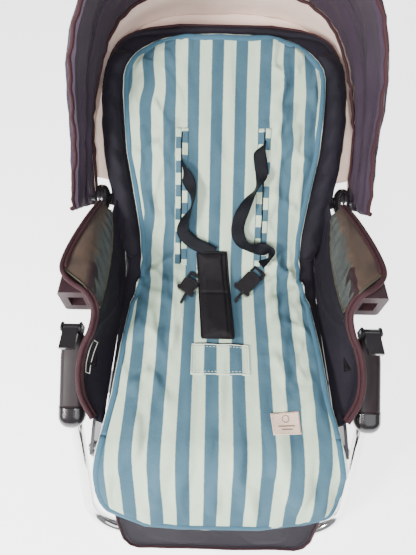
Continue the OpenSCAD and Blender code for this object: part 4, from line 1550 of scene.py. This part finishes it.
# ---------------------------------------------------------------- stage, light and camera

def stage():
    """A plain pale floor under the lowest point; the soft studio light from the upper left is set in lighting().
    """
    floor_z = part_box("hoop_catch")[0].z - 0.008
    n = Nodes("pale floor")
    vector = n.place()
    n.set("Base Color", n.mix(n.noise(vector, 2.0, 2.0), (0.86, 0.86, 0.86), (0.90, 0.90, 0.90)))
    n.set("Roughness", 0.9)
    n.set("Emission Color", (1.0, 1.0, 1.0))
    n.set("Emission Strength", 2.6)
    size = 6.0
    verts = [(-size, -size, floor_z), (size, -size, floor_z), (size, size, floor_z), (-size, size, floor_z)]
    MAT["floor"] = n.material
    make("floor", verts, [(0, 1, 2, 3)], ["floor"], flat_shaded=True)


def light(name, place, target, size, power, colour=(1, 1, 1)):
    data = bpy.data.lights.new(name, "AREA")
    data.shape, data.size, data.energy, data.color = "DISK", size, power, colour
    obj = bpy.data.objects.new(name, data)
    obj.location = place
    obj.rotation_mode = "QUATERNION"
    obj.rotation_quaternion = (Vector(target) - Vector(place)).to_track_quat("-Z", "Y")
    bpy.context.scene.collection.objects.link(obj)
    return obj


def lighting():
    world = bpy.data.worlds.new("studio")
    world.use_nodes = True
    world.node_tree.nodes["Background"].inputs["Color"].default_value = (0.93, 0.95, 1.0, 1)
    world.node_tree.nodes["Background"].inputs["Strength"].default_value = 0.34
    bpy.context.scene.world = world
    centre = (0, 0.12, 0.1)
    light("key", (-1.15, -0.85, 1.0), centre, 0.45, 60, (1.0, 0.985, 0.96))
    light("fill", (0.9, -1.4, 1.5), centre, 1.6, 13, (0.94, 0.97, 1.0))
    light("back", (0.5, 1.6, 1.6), centre, 1.4, 12)
    light("inside", (-0.05, -0.55, 0.75), (0, 0.5, 0.42), 0.30, 12)


def camera():
    """The camera over the front of the seat, looking steeply down its back."""
    data = bpy.data.cameras.new("camera")
    data.lens, data.sensor_width, data.sensor_fit = 26.0, 36.0, "AUTO"
    data.clip_start = 0.01
    obj = bpy.data.objects.new("camera", data)
    aim = Vector((0, 0.5446, -0.8387)).normalized()
    roll = math.radians(1.1)
    up = Vector((0, 0.8387, 0.5446)).normalized()
    right = Vector((1, 0, 0))
    tilted_up = up * math.cos(roll) - right * math.sin(roll)
    tilted_right = aim.cross(tilted_up)
    turn = Matrix((tilted_right, tilted_up, -aim)).transposed().to_4x4()
    obj.matrix_world = Matrix.Translation((-0.0217, -0.2248, 0.673)) @ turn
    bpy.context.scene.collection.objects.link(obj)
    bpy.context.scene.camera = obj


def build():
    dress_cad_nodes()
    back_pad()
    back_piping()
    for side, name in SIDES:
        bolster(side, name)
    upholstery_upper()
    upholstery_lower()
    flap()
    join = liner()
    liner_bindings(join)
    slot_facings()
    crotch_facing()
    liner_tag()
    shoulder_straps()
    crotch_pad()
    buckles()
    hood_panels()
    hood_curtain()
    hood_sleeves()
    hood_bindings()
    side_wings()
    rims()
    mesh_windows()
    side_covers()
    hub_shells()
    armrests()
    wing_patch()
    stage()
    lighting()
    camera()


build()
bpy.context.view_layer.update()
